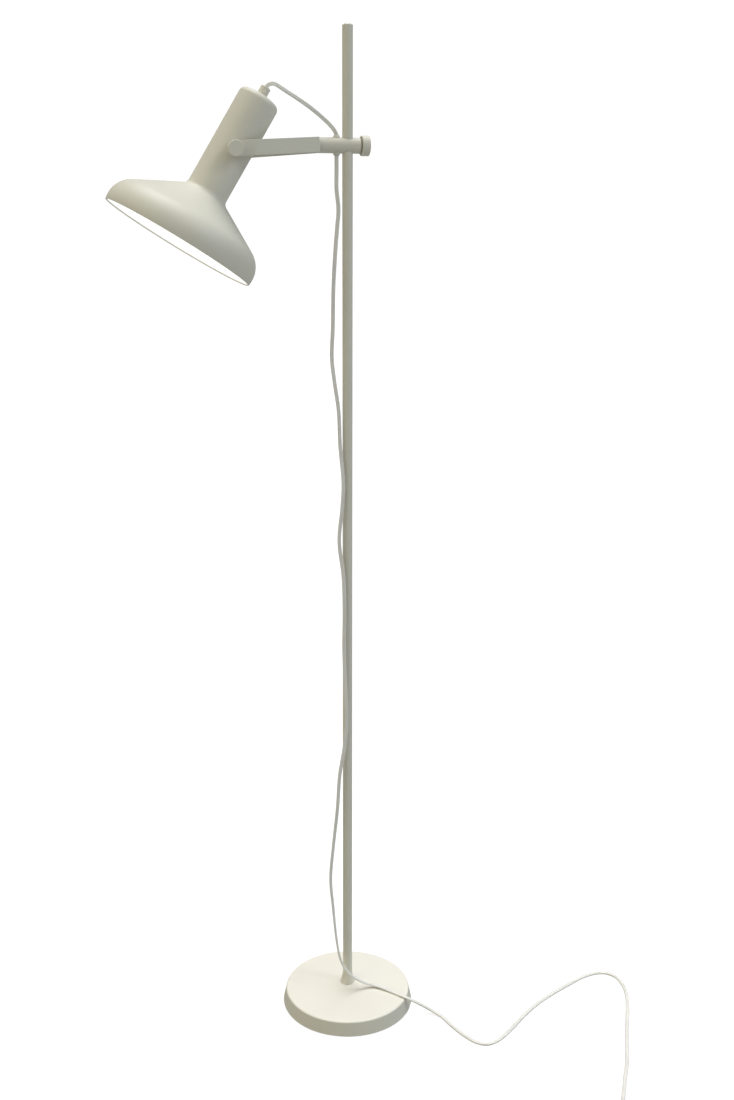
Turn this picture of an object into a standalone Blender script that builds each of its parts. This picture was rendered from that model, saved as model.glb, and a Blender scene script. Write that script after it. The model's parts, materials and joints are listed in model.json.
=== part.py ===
"""Adjustable arm floor lamp: a clamp arm that slides and swivels on a pole, with a tilting spun shade.

The origin is the centre of the base's underside, +Z is up, and the arm points along -X.
Everything is in metres. The head is modelled along its own axis and hung from an empty on its pivot.
"""

import math

import bmesh
import bpy
import numpy as np
from mathutils import Matrix, Vector

MM = 0.001
GAP = 0.3 * MM
MERGE = 0.00005
OBJECT_NAME = "adjustable_arm_floor_lamp"

# Base and pole
BASE_FOOT_RADIUS = 114.0 * MM
BASE_TOP_RADIUS = 108.6 * MM
BASE_HEIGHT = 25.3 * MM
BASE_EDGE_ROUND = 3.0 * MM
BASE_RISE = 9.0 * MM  # the cover is a very flat cone: its middle is this much higher than its edge
BASE_LAND_RADIUS = 16.0 * MM
SHEET = 1.5 * MM
PAD_RADIUS = 107.0 * MM
POLE_RADIUS = 8.0 * MM
POLE_BORE = 6.8 * MM
POLE_BOTTOM = 12.8 * MM
POLE_TOP = 1624.0 * MM
COLLAR_RADIUS = 12.9 * MM
COLLAR_HEIGHT = 16.0 * MM
BOLT_RADIUS = 4.0 * MM

# Clamp arm, on the barrel's horizontal axis
BARREL_HEIGHT = 1454.5 * MM
BARREL_RADIUS = 11.5 * MM
BARREL_RIGHT = 19.0 * MM
BARREL_LEFT = -50.0 * MM
SPIGOT_LEFT = -62.0 * MM
CABLE_HOLE_X = -17.1 * MM
CABLE_HOLE_RADIUS = 4.6 * MM
KNOB_RADIUS = 14.85 * MM
KNOB_BACK = 20.9 * MM
KNOB_FRONT = 33.0 * MM
CLAMP_SCREW_RADIUS = 4.0 * MM
BUSH_OUTER = 8.9 * MM
BUSH_HALF_HEIGHT = 6.2 * MM

# Fork, in its own frame: origin on the head pivot, +X along the bars towards the pole
PIVOT = Vector((-178.0 * MM, 0.0, 1445.2 * MM))
FORK_DROOP = math.radians(4.1)
BAR_LENGTH = 131.8 * MM
BAR_HALF_HEIGHT = 11.0 * MM
BAR_THICKNESS = 3.5 * MM
BAR_INNER_AT_HEAD = 34.6 * MM
BAR_INNER_AT_BARREL = 11.9 * MM
BAR_BEND = 30.0 * MM
BLOCK_START = 93.0 * MM
BLOCK_END = 127.5 * MM
PIN_PLACES = (99.0 * MM, 110.0 * MM)
PIN_RADIUS = 2.0 * MM

# Head, in its own frame: origin on the pivot, +Z along the housing towards the cord gland
HEAD_TILT = math.radians(31.7)
HOUSING_RADIUS = 31.5 * MM
HOUSING_TOP = 88.5 * MM
HOUSING_CORNER = 9.0 * MM
FLARE_START = HOUSING_TOP - 161.4 * MM
FLARE_FILLET = 10.0 * MM
FLARE_ANGLE = math.radians(61.0)
SHADE_RADIUS = 121.4 * MM
SHADE_SHOULDER = 40.0 * MM
SHADE_WIDEST = HOUSING_TOP - 235.4 * MM
SHADE_CURL = math.radians(12.4)
GLAND_RADIUS = 7.6 * MM
GLAND_LENGTH = 15.4 * MM
GLAND_STUB = 5.0 * MM
HOLDER_TOP = HOUSING_TOP - 44.0 * MM
HOLDER_RADIUS = 20.0 * MM
PIVOT_SHANK = 3.0 * MM
PIVOT_CAP_RADIUS = 11.5 * MM
PIVOT_CAP_INNER = 38.4 * MM
PIVOT_CAP_OUTER = 48.4 * MM

# Cord
CORD_RADIUS = 3.0 * MM
CORD_BORE = 3.35 * MM
CORD_REST = 3.2 * MM
SWIVEL_END = 1300.0 * MM
COIL_LIFT = 1.9 * MM
COIL_INNER = 25.5 * MM
COIL_OUTER = 40.3 * MM
COIL_HEIGHT = 18.6 * MM
COIL_LANE = 37.0 * MM
TIE_WALL = 1.0 * MM

# Foot switch and plug, in frames whose +X is the cord's heading
SWITCH_LENGTH = 58.0 * MM
SWITCH_WIDTH = 32.0 * MM
SWITCH_HEIGHT = 19.0 * MM
SWITCH_FLOOR = 3.5 * MM
SWITCH_WALL = 1.8 * MM
BUTTON_RADIUS = 8.0 * MM
RELIEF_LENGTH = 22.0 * MM
CORD_ENTRY_HEIGHT = 7.5 * MM
PLUG_LENGTH = 38.0 * MM
PLUG_WIDTH = 35.0 * MM
PLUG_THICKNESS = 14.0 * MM
PLUG_CENTRE = PLUG_THICKNESS / 2
PLUG_GRIP = 4.0 * MM
PLUG_PIN_RADIUS = 2.0 * MM
PLUG_PIN_SPACING = 18.6 * MM
PLUG_PIN_LENGTH = 19.0 * MM

# The lead from the gland to the arm, after its bend, as x and z on the plane y = 0
UPPER_LEAD = ((-0.0890, 1.5268), (-0.0720, 1.5170), (-0.0548, 1.5058), (-0.0373, 1.4925),
              (-0.0275, 1.4840), (-0.0208, 1.4765), (-0.0173, 1.4700))
LEAD_BEND = 11.0 * MM
LEAD_FALL = math.radians(31.0)

# The lead beside the pole, from the arm to the base
DROP = ((-0.0171, 0.0, 1.4540), (-0.0172, -0.0003, 1.4200), (-0.0175, -0.0010, 1.3920),
        (-0.0146, -0.0013, 1.3620), (-0.0168, -0.0016, 1.3350), (-0.0190, -0.0018, 1.3100),
        (-0.0228, -0.0022, 1.2500), (-0.0243, -0.0028, 1.1850), (-0.0260, -0.0026, 1.1380),
        (-0.0222, -0.0036, 1.1020), (-0.0160, -0.0055, 1.0550), (-0.0140, -0.0070, 1.0000),
        (-0.0098, -0.0104, 0.9400), (-0.0115, -0.0098, 0.9000), (-0.0160, -0.0083, 0.8450),
        (-0.0098, -0.0108, 0.7850), (-0.0084, -0.0119, 0.7250), (-0.0092, -0.0124, 0.6700),
        (-0.0078, -0.0136, 0.6000), (-0.0058, -0.0150, 0.5350), (-0.0090, -0.0138, 0.4900),
        (-0.0165, -0.0112, 0.4380), (-0.0205, -0.0100, 0.3750), (-0.0275, -0.0086, 0.3050),
        (-0.0325, -0.0090, 0.2440), (-0.0290, -0.0120, 0.1900), (-0.0236, -0.0165, 0.1250),
        (-0.0176, -0.0205, 0.0900), (-0.0068, -0.0230, 0.0690), (0.0035, -0.0250, 0.0570),
        (0.0190, -0.0268, 0.0460), (0.0350, -0.0266, 0.0385))

# The lead over the base, down to the floor and out to the foot switch
FLOOR_RUN = ((0.0500, -0.0320, 0.0352), (0.0720, -0.0500, 0.0306), (0.0920, -0.0690, 0.0280),
             (0.1105, -0.0770, 0.0190), (0.1290, -0.0840, 0.0085), (0.1425, -0.0990, 0.0042),
             (0.1520, -0.1290, CORD_REST), (0.1633, -0.1590, CORD_REST), (0.1767, -0.1820, CORD_REST),
             (0.1920, -0.1915, CORD_REST), (0.2133, -0.1870, CORD_REST), (0.2445, -0.1659, CORD_REST),
             (0.2834, -0.1340, CORD_REST), (0.3210, -0.1073, CORD_REST), (0.3595, -0.0865, CORD_REST),
             (0.3972, -0.0690, CORD_REST), (0.4340, -0.0535, CORD_REST), (0.4591, -0.0488, CORD_REST),
             (0.4785, -0.0525, CORD_REST), (0.4912, -0.0665, CORD_REST), (0.4934, -0.0908, CORD_REST),
             (0.4861, -0.1229, CORD_REST), (0.4708, -0.1566, CORD_REST), (0.4453, -0.2039, CORD_REST),
             (0.4158, -0.2609, CORD_REST), (0.3975, -0.2964, CORD_REST), (0.3772, -0.3299, CORD_REST),
             (0.3479, -0.3792, CORD_REST))
FLOOR_HEADING = math.atan2(-0.860, -0.511)
SWITCH_APPROACH = 38.0 * MM
AFTER_SWITCH = 14.0 * MM
COIL_TURN_RADIUS = 30.0 * MM
COIL_TURN = math.radians(75.0)
COIL_APPROACH = 30.0 * MM
TAIL_LENGTH = 52.0 * MM
CLEAR_OF_COIL = 22.5 * MM

PUTTY = (0.600, 0.575, 0.500, 1.0)
CREAM = (0.860, 0.840, 0.780, 1.0)
WHITE_PLASTIC = (0.860, 0.860, 0.840, 1.0)
BLACK_RUBBER = (0.030, 0.030, 0.032, 1.0)
NYLON = (0.750, 0.740, 0.690, 1.0)
STEEL = (0.560, 0.560, 0.570, 1.0)
BRASS = (0.720, 0.560, 0.280, 1.0)
IRON = (0.120, 0.120, 0.125, 1.0)
GLASS = (0.930, 0.930, 0.900, 1.0)


def clear_scene():
    """Remove every object that the scene starts with."""
    for obj in list(bpy.data.objects):
        bpy.data.objects.remove(obj, do_unlink=True)


def new_collection(name):
    """Make a collection and link it to the scene."""
    collection = bpy.data.collections.new(name)
    bpy.context.scene.collection.children.link(collection)
    return collection


def material(name, colour, roughness, metallic=0.0):
    """A Principled material for one sub-part."""
    mat = bpy.data.materials.new(name)
    mat.use_nodes = True
    shader = mat.node_tree.nodes["Principled BSDF"]
    shader.inputs["Base Color"].default_value = colour
    shader.inputs["Roughness"].default_value = roughness
    shader.inputs["Metallic"].default_value = metallic
    return mat


def add_part(name, data, finish, parent=None):
    """Link a sub-part to the lamp's collection with a material of its own."""
    obj = bpy.data.objects.new(name, data)
    PARTS.objects.link(obj)
    colour, roughness, metallic = finish
    data.materials.append(material(name, colour, roughness, metallic))
    obj.parent = parent
    return obj


def empty_at(name, place, rotation):
    """An empty that carries the frame of a moving or turned group."""
    frame = bpy.data.objects.new(name, None)
    PARTS.objects.link(frame)
    frame.location = place
    frame.rotation_euler = rotation
    return frame


def turned(name, outline, finish, parent=None, segments=24, closed=False):
    """Turn an outline of (radius, height) points about Z. It runs down its outer side first."""
    mesh = bpy.data.meshes.new(name)
    edges = [(i, i + 1) for i in range(len(outline) - 1)]
    if closed:
        edges.append((len(outline) - 1, 0))
    mesh.from_pydata([(radius, 0.0, height) for radius, height in outline], edges, [])
    obj = add_part(name, mesh, finish, parent)
    screw = obj.modifiers.new("Turn", "SCREW")
    screw.steps = segments
    screw.render_steps = segments
    screw.use_merge_vertices = True
    screw.merge_threshold = MERGE
    screw.use_smooth_shade = True
    return obj


def arc(centre_radius, centre_height, radius, start, end, count):
    """Points of an arc in the (radius, height) plane, from angle start to angle end."""
    angles = np.linspace(start, end, count)
    return [(centre_radius + radius * math.cos(a), centre_height + radius * math.sin(a)) for a in angles]


def cylinder_mesh(name, radius, length, axis, segments=24):
    """A closed cylinder centred on the origin, along the given axis."""
    mesh = bpy.data.meshes.new(name)
    shape = bmesh.new()
    turn = Vector((0, 0, 1)).rotation_difference(Vector(axis)).to_matrix().to_4x4()
    bmesh.ops.create_cone(shape, cap_ends=True, segments=segments, radius1=radius, radius2=radius,
                          depth=length, matrix=turn)
    shape.to_mesh(mesh)
    shape.free()
    return mesh


def box_mesh(name, size):
    """A closed box centred on the origin."""
    mesh = bpy.data.meshes.new(name)
    shape = bmesh.new()
    bmesh.ops.create_cube(shape, size=1.0, matrix=Matrix.Diagonal((*size, 1.0)))
    shape.to_mesh(mesh)
    shape.free()
    return mesh


def cutter(name, mesh, place=(0, 0, 0), parent=None, rotation=(0, 0, 0)):
    """A hidden tool body for Boolean modifiers."""
    obj = bpy.data.objects.new(name, mesh)
    CUTTERS.objects.link(obj)
    obj.location = place
    obj.rotation_euler = rotation
    obj.parent = parent
    obj.hide_render = True
    obj.display_type = "WIRE"
    return obj


def cut(obj, tool, operation="DIFFERENCE"):
    """Cut, join or intersect a sub-part with a tool body."""
    boolean = obj.modifiers.new(tool.name, "BOOLEAN")
    boolean.operation = operation
    boolean.object = tool


def rounded_rectangle(length, width, corner, count=4):
    """Outline points of a rectangle with round corners, centred on the origin."""
    points = []
    for quarter in range(4):
        sign_x = 1 if quarter in (0, 3) else -1
        sign_y = 1 if quarter in (0, 1) else -1
        centre = Vector((sign_x * (length / 2 - corner), sign_y * (width / 2 - corner)))
        for step in range(count):
            angle = math.pi / 2 * (quarter + step / (count - 1))
            points.append(centre + corner * Vector((math.cos(angle), math.sin(angle))))
    return points


def plate_mesh(name, outline, thickness):
    """A flat outline in XY, thickened evenly about z = 0, as a closed mesh."""
    curve = bpy.data.curves.new(name, "CURVE")
    curve.dimensions = "2D"
    curve.fill_mode = "BOTH"
    curve.extrude = thickness / 2
    spline = curve.splines.new("POLY")
    spline.points.add(len(outline) - 1)
    for point, place in zip(spline.points, outline):
        point.co = (place[0], place[1], 0.0, 1.0)
    spline.use_cyclic_u = True
    guide = bpy.data.objects.new(name + "_outline", curve)
    bpy.context.scene.collection.objects.link(guide)
    graph = bpy.context.evaluated_depsgraph_get()
    mesh = bpy.data.meshes.new_from_object(guide.evaluated_get(graph))
    bpy.data.objects.remove(guide)
    shape = bmesh.new()
    shape.from_mesh(mesh)
    bmesh.ops.remove_doubles(shape, verts=shape.verts, dist=MERGE)
    bmesh.ops.recalc_face_normals(shape, faces=shape.faces)
    shape.to_mesh(mesh)
    shape.free()
    return mesh


def bevel(obj, width, segments=2):
    """Round the sharp edges of a plate or block."""
    modifier = obj.modifiers.new("Rounded edges", "BEVEL")
    modifier.width = width
    modifier.segments = segments
    modifier.limit_method = "ANGLE"
    modifier.angle_limit = math.radians(50)


def smooth_route(points, spacing):
    """Read points from a centripetal Catmull-Rom curve through the route's points.

    The spacing is a length, or a function that gives a length for each place on the curve.
    No point is lower than a cord that rests on the floor.
    """
    knots = np.array(points, float)
    ends = (2 * knots[0] - knots[1], 2 * knots[-1] - knots[-2])
    knots = np.vstack([ends[0], knots, ends[1]])
    fine = []
    for p0, p1, p2, p3 in zip(knots[:-3], knots[1:-2], knots[2:-1], knots[3:]):
        t0 = 0.0
        t1 = t0 + np.linalg.norm(p1 - p0) ** 0.5
        t2 = t1 + np.linalg.norm(p2 - p1) ** 0.5
        t3 = t2 + np.linalg.norm(p3 - p2) ** 0.5
        t = np.linspace(t1, t2, 24, endpoint=False)[:, None]
        a1 = (t1 - t) / (t1 - t0) * p0 + (t - t0) / (t1 - t0) * p1
        a2 = (t2 - t) / (t2 - t1) * p1 + (t - t1) / (t2 - t1) * p2
        a3 = (t3 - t) / (t3 - t2) * p2 + (t - t2) / (t3 - t2) * p3
        b1 = (t2 - t) / (t2 - t0) * a1 + (t - t0) / (t2 - t0) * a2
        b2 = (t3 - t) / (t3 - t1) * a2 + (t - t1) / (t3 - t1) * a3
        fine.append((t2 - t) / (t2 - t1) * b1 + (t - t1) / (t2 - t1) * b2)
    fine = np.vstack(fine + [knots[-2:-1]])
    fine[:, 2] = np.maximum(fine[:, 2], CORD_REST)
    gaps = spacing(fine[1:]) if callable(spacing) else spacing
    steps = np.linalg.norm(np.diff(fine, axis=0), axis=1) / gaps
    along = np.concatenate([[0.0], np.cumsum(steps)])
    count = max(2, int(round(along[-1])) + 1)
    places = np.linspace(0.0, along[-1], count)
    return np.stack([np.interp(places, along, fine[:, axis]) for axis in range(3)], axis=1)


def lead_spacing(places):
    """Close spacing round the bends at the gland and the grommet, wider on the slope."""
    at_bend = (places[:, 0] < -105.0 * MM) | (places[:, 0] > -30.0 * MM)
    return np.where(at_bend, 6.5 * MM, 15.0 * MM)


def drop_spacing(places):
    """Wide spacing beside the pole, close over the base's edge, medium on the floor."""
    height = places[:, 2]
    over_base = np.where(height > 4.5 * MM, 15.0 * MM, 27.0 * MM)
    return np.where(height > 110.0 * MM, 46.0 * MM, over_base)


def cord_tube(name, points):
    """A stretch of cord as a curve with a round bevel and filled caps."""
    curve = bpy.data.curves.new(name, "CURVE")
    curve.dimensions = "3D"
    curve.bevel_depth = CORD_RADIUS
    curve.bevel_resolution = 2
    curve.use_fill_caps = True
    spline = curve.splines.new("POLY")
    spline.points.add(len(points) - 1)
    for point, place in zip(spline.points, points):
        point.co = (*place, 1.0)
    return add_part(name, curve, (WHITE_PLASTIC, 0.45, 0.0))


def heading_vector(angle):
    """Unit vector on the floor for a heading."""
    return Vector((math.cos(angle), math.sin(angle), 0.0))


# ---- Base and pole ----

def make_base():
    """Rubber pad, cast weight and spun cover, one inside the other."""
    turned("base_pad", [(0, SHEET), (PAD_RADIUS, SHEET), (PAD_RADIUS, 0), (0, 0)], (BLACK_RUBBER, 0.9, 0.0),
           segments=32)
    web_low = 9.3 * MM
    web_high = POLE_BOTTOM - GAP
    weight_top = BASE_HEIGHT - SHEET - 2 * GAP
    weight_radius = BASE_TOP_RADIUS - SHEET - 3.0 * MM
    socket = POLE_RADIUS + GAP
    weight_bottom = SHEET + GAP
    turned("base_weight",
           [(socket, weight_top), (weight_radius, weight_top), (weight_radius, weight_bottom),
            (10.0 * MM, weight_bottom), (10.0 * MM, web_low), (BOLT_RADIUS + GAP, web_low),
            (BOLT_RADIUS + GAP, web_high), (socket, web_high)],
           (IRON, 0.7, 0.6), segments=32, closed=True)
    shoulder = BASE_TOP_RADIUS - BASE_EDGE_ROUND
    outer = arc(shoulder, BASE_HEIGHT - BASE_EDGE_ROUND, BASE_EDGE_ROUND, math.pi / 2, 0.0, 4)
    inner = arc(shoulder, BASE_HEIGHT - BASE_EDGE_ROUND, BASE_EDGE_ROUND - SHEET, 0.0, math.pi / 2, 2)
    rim = 0.8 * MM
    middle = BASE_HEIGHT + BASE_RISE
    turned("base_cover",
           [(socket, middle), (BASE_LAND_RADIUS, middle)] + outer
           + [(BASE_FOOT_RADIUS, rim), (BASE_FOOT_RADIUS - SHEET, rim)] + inner
           + [(BASE_LAND_RADIUS, middle - SHEET), (socket, middle - SHEET)],
           (CREAM, 0.45, 0.0), segments=48, closed=True)


def make_pole():
    """Tube with its foot insert, fixing bolt, washer, collar and domed end plug."""
    turned("pole", [(POLE_RADIUS, POLE_TOP), (POLE_RADIUS, POLE_BOTTOM),
                    (POLE_BORE, POLE_BOTTOM), (POLE_BORE, POLE_TOP)],
           (PUTTY, 0.45, 0.0), segments=32, closed=True)
    insert_radius = POLE_BORE - GAP
    insert_top = 40.0 * MM
    turned("pole_foot_insert",
           [(insert_radius, insert_top), (insert_radius, POLE_BOTTOM),
            (BOLT_RADIUS + GAP, POLE_BOTTOM), (BOLT_RADIUS + GAP, insert_top)],
           (STEEL, 0.4, 1.0), closed=True)
    head_top = 7.2 * MM
    turned("base_bolt", [(0, 30.0 * MM), (BOLT_RADIUS, 30.0 * MM), (BOLT_RADIUS, head_top),
                         (6.5 * MM, head_top), (6.5 * MM, 2.2 * MM), (0, 2.2 * MM)],
           (STEEL, 0.35, 1.0))
    turned("base_washer", [(9.0 * MM, 9.0 * MM), (9.0 * MM, 7.5 * MM),
                           (BOLT_RADIUS + GAP, 7.5 * MM), (BOLT_RADIUS + GAP, 9.0 * MM)],
           (STEEL, 0.35, 1.0), closed=True)
    bottom = BASE_HEIGHT + BASE_RISE + GAP
    turned("pole_collar",
           [(POLE_RADIUS + GAP, bottom + COLLAR_HEIGHT), (POLE_RADIUS + 0.8 * MM, bottom + COLLAR_HEIGHT),
            (9.6 * MM, bottom + 9.0 * MM), (COLLAR_RADIUS - 1.2 * MM, bottom + 2.4 * MM),
            (COLLAR_RADIUS, bottom), (POLE_RADIUS + GAP, bottom)],
           (PUTTY, 0.45, 0.0), segments=32, closed=True)
    dome = [(6.3 * MM * math.cos(a), POLE_TOP + 2.6 * MM * math.sin(a)) for a in np.linspace(math.pi / 2, 0, 6)]
    dome[0] = (0.0, POLE_TOP + 2.6 * MM)
    turned("pole_cap", dome + [(insert_radius, POLE_TOP), (insert_radius, POLE_TOP - 16.0 * MM),
                               (0, POLE_TOP - 16.0 * MM)],
           (WHITE_PLASTIC, 0.4, 0.0))


# ---- Clamp arm ----

def make_barrel(frame):
    """Barrel with the pole bore, its recess for the bush, the cable hole and the tapped end."""
    chamfer = 0.6 * MM
    barrel = turned("arm_barrel",
                    [(0, BARREL_RIGHT), (BARREL_RADIUS - chamfer, BARREL_RIGHT),
                     (BARREL_RADIUS, BARREL_RIGHT - chamfer), (BARREL_RADIUS, BARREL_LEFT),
                     (6.0 * MM, BARREL_LEFT), (6.0 * MM, SPIGOT_LEFT), (0, SPIGOT_LEFT)],
                    (PUTTY, 0.45, 0.0), frame)
    upright = (0, 0, 1)
    along = (1, 0, 0)
    high = 40.0 * MM
    middle = (0, 0, BARREL_HEIGHT)
    bore = cylinder_mesh("pole_bore_tool", POLE_RADIUS + GAP, high, upright)
    recess = cylinder_mesh("bush_recess_tool", BUSH_OUTER + GAP, 2 * (BUSH_HALF_HEIGHT + GAP), upright)
    cable = cylinder_mesh("cable_hole_tool", CABLE_HOLE_RADIUS, high, upright, 24)
    tapped = cylinder_mesh("tapped_hole_tool", CLAMP_SCREW_RADIUS + GAP, 16.0 * MM, along, 24)
    cut(barrel, cutter("pole_bore_tool", bore, middle))
    cut(barrel, cutter("bush_recess_tool", recess, middle))
    cut(barrel, cutter("cable_hole_tool", cable, (CABLE_HOLE_X, 0, BARREL_HEIGHT)))
    cut(barrel, cutter("tapped_hole_tool", tapped, (14.0 * MM, 0, BARREL_HEIGHT)))


def make_bush():
    """Split nylon sleeve between the pole and the barrel, which the clamp pad squeezes."""
    inner = POLE_RADIUS + GAP
    bush = turned("pole_bush", [(BUSH_OUTER, BUSH_HALF_HEIGHT), (BUSH_OUTER, -BUSH_HALF_HEIGHT),
                                (inner, -BUSH_HALF_HEIGHT), (inner, BUSH_HALF_HEIGHT)],
                  (NYLON, 0.5, 0.0), segments=32, closed=True)
    bush.location = (0, 0, BARREL_HEIGHT)
    slit = box_mesh("bush_slit_tool", (6.0 * MM, 1.6 * MM, 20.0 * MM))
    cut(bush, cutter("bush_slit_tool", slit, (-9.0 * MM, 0, BARREL_HEIGHT)))


def make_grommet(name, side):
    """Conical cable grommet whose saddle sits on the barrel and whose sleeve fills the cable hole."""
    place = Vector((CABLE_HOLE_X, 0, BARREL_HEIGHT))
    turn = (0, 0, 0) if side > 0 else (math.pi, 0, 0)
    grommet = turned(name, [(0, 14.7 * MM), (4.1 * MM, 14.7 * MM), (5.5 * MM, 11.9 * MM),
                            (5.5 * MM, 8.0 * MM), (0, 8.0 * MM)],
                     (PUTTY, 0.55, 0.0))
    grommet.location = place
    grommet.rotation_euler = turn
    saddle = cylinder_mesh(name + "_saddle_tool", BARREL_RADIUS + GAP, 30.0 * MM, (1, 0, 0), 48)
    sleeve = cylinder_mesh(name + "_sleeve_tool", CABLE_HOLE_RADIUS - GAP, 10.0 * MM, (0, 0, 1), 24)
    bore = cylinder_mesh(name + "_bore_tool", CORD_BORE, 30.0 * MM, (0, 0, 1), 24)
    cut(grommet, cutter(name + "_saddle_tool", saddle, place))
    cut(grommet, cutter(name + "_sleeve_tool", sleeve, place + Vector((0, 0, side * 8.0 * MM))), "UNION")
    cut(grommet, cutter(name + "_bore_tool", bore, place + Vector((0, 0, side * 10.0 * MM))))


def make_clamp(frame):
    """Knob, clamp screw and pressure pad on the barrel's axis."""
    edge = 1.2 * MM
    bore = CLAMP_SCREW_RADIUS + GAP
    screw_end = 28.6 * MM
    turned("clamp_knob",
           [(0, KNOB_FRONT), (KNOB_RADIUS - edge, KNOB_FRONT), (KNOB_RADIUS, KNOB_FRONT - edge),
            (KNOB_RADIUS, KNOB_BACK + edge), (KNOB_RADIUS - edge, KNOB_BACK), (bore, KNOB_BACK),
            (bore, screw_end + GAP), (0, screw_end + GAP)],
           (PUTTY, 0.45, 0.0), frame)
    pad_back = 12.4 * MM
    tip = pad_back + GAP
    turned("clamp_screw",
           [(0, screw_end), (CLAMP_SCREW_RADIUS, screw_end), (CLAMP_SCREW_RADIUS, tip + 0.8 * MM),
            (CLAMP_SCREW_RADIUS - 0.8 * MM, tip), (0, tip)],
           (STEEL, 0.3, 1.0), frame)
    turned("clamp_pad", [(0, pad_back), (3.6 * MM, pad_back), (3.6 * MM, BUSH_OUTER + GAP),
                         (0, BUSH_OUTER + GAP)],
           (BRASS, 0.4, 1.0), frame)


def bar_outline():
    """Side view of a fork bar: round about the pivot, square at the barrel."""
    left = arc(0.0, 0.0, BAR_HALF_HEIGHT, math.pi / 2, 3 * math.pi / 2, 13)
    return left + [(BAR_LENGTH, -BAR_HALF_HEIGHT), (BAR_LENGTH, BAR_HALF_HEIGHT)]


def inner_face(x):
    """Distance from the arm's middle plane to a bar's inner face."""
    slope = (BAR_INNER_AT_HEAD - BAR_INNER_AT_BARREL) / (BAR_LENGTH - BAR_BEND)
    return BAR_INNER_AT_HEAD - slope * max(0.0, x - BAR_BEND)


def make_fork_bar(name, side, frame):
    """Flat bar, parallel at the pivot and then bent inwards to meet the barrel."""
    mesh = plate_mesh(name, bar_outline(), BAR_THICKNESS)
    shape = bmesh.new()
    shape.from_mesh(mesh)
    everything = shape.verts[:] + shape.edges[:] + shape.faces[:]
    bmesh.ops.bisect_plane(shape, geom=everything, dist=MERGE, plane_co=(BAR_BEND, 0, 0),
                           plane_no=(1, 0, 0))
    for vert in shape.verts:
        x, height, depth = vert.co
        vert.co = (x, side * (inner_face(x) + BAR_THICKNESS / 2 + depth), height)
    bmesh.ops.recalc_face_normals(shape, faces=shape.faces)
    shape.to_mesh(mesh)
    shape.free()
    bar = add_part(name, mesh, (PUTTY, 0.45, 0.0), frame)
    hole = cylinder_mesh(name + "_hole_tool", PIVOT_SHANK + GAP, 20.0 * MM, (0, 1, 0), 24)
    cut(bar, cutter(name + "_hole_tool", hole, (0, side * BAR_INNER_AT_HEAD, 0), frame))
    for number, place in enumerate(PIN_PLACES):
        reach = inner_face(place) + 2.4 * MM
        blind = cylinder_mesh(f"{name}_pin_tool_{number}", PIN_RADIUS + GAP, 2 * reach, (0, 1, 0), 16)
        cut(bar, cutter(f"{name}_pin_tool_{number}", blind, (place, 0, 0), frame))


def make_fork(frame):
    """Two splayed bars, the wedge block between them and the dowel pins through it."""
    make_fork_bar("fork_bar_near", -1, frame)
    make_fork_bar("fork_bar_far", 1, frame)
    outline = [(BLOCK_START, inner_face(BLOCK_START) - 2 * GAP), (BLOCK_START, 2 * GAP - inner_face(BLOCK_START)),
               (BLOCK_END, 2 * GAP - inner_face(BLOCK_END)), (BLOCK_END, inner_face(BLOCK_END) - 2 * GAP)]
    block = add_part("fork_block", plate_mesh("fork_block", outline, 20.0 * MM), (PUTTY, 0.45, 0.0), frame)
    spigot = cylinder_mesh("spigot_tool", 6.5 * MM, 26.0 * MM, (1, 0, 0), 32)
    cut(block, cutter("spigot_tool", spigot, (SPIGOT_LEFT + 12.5 * MM, 0, BARREL_HEIGHT)))
    for number, place in enumerate(PIN_PLACES):
        through = cylinder_mesh(f"block_pin_tool_{number}", PIN_RADIUS + GAP, 80.0 * MM, (0, 1, 0), 16)
        cut(block, cutter(f"block_pin_tool_{number}", through, (place, 0, 0), frame))
        pin = cylinder_mesh(f"fork_pin_{number + 1}", PIN_RADIUS, 2 * (inner_face(place) + 2.0 * MM), (0, 1, 0), 16)
        add_part(f"fork_pin_{number + 1}", pin, (STEEL, 0.3, 1.0), frame).location = (place, 0, 0)


# ---- Head ----

def shade_outline():
    """Housing, fillet, cone and shoulder of the one spun shell, from its top hole to its rim."""
    quarter = math.pi / 2
    corner = HOUSING_RADIUS - HOUSING_CORNER
    points = [(GLAND_STUB + GAP, HOUSING_TOP)]
    points += arc(corner, HOUSING_TOP - HOUSING_CORNER, HOUSING_CORNER, quarter, 0.0, 4)
    set_back = FLARE_FILLET * math.tan(FLARE_ANGLE / 2)
    points += arc(HOUSING_RADIUS + FLARE_FILLET, FLARE_START + set_back, FLARE_FILLET,
                  math.pi, math.pi + FLARE_ANGLE, 4)
    points += arc(SHADE_RADIUS - SHADE_SHOULDER, SHADE_WIDEST, SHADE_SHOULDER, FLARE_ANGLE, -SHADE_CURL, 6)
    return points


def make_shade(head):
    """Spun aluminium housing and reflector in one shell, with its two pivot holes."""
    shade = turned("shade_shell", shade_outline(), (PUTTY, 0.45, 0.0), head, segments=40)
    wall = shade.modifiers.new("Wall", "SOLIDIFY")
    wall.thickness = SHEET
    wall.offset = -1.0
    holes = cylinder_mesh("pivot_holes_tool", PIVOT_SHANK + 2 * GAP, 80.0 * MM, (0, 1, 0), 24)
    cut(shade, cutter("pivot_holes_tool", holes, (0, 0, 0), head))


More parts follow.
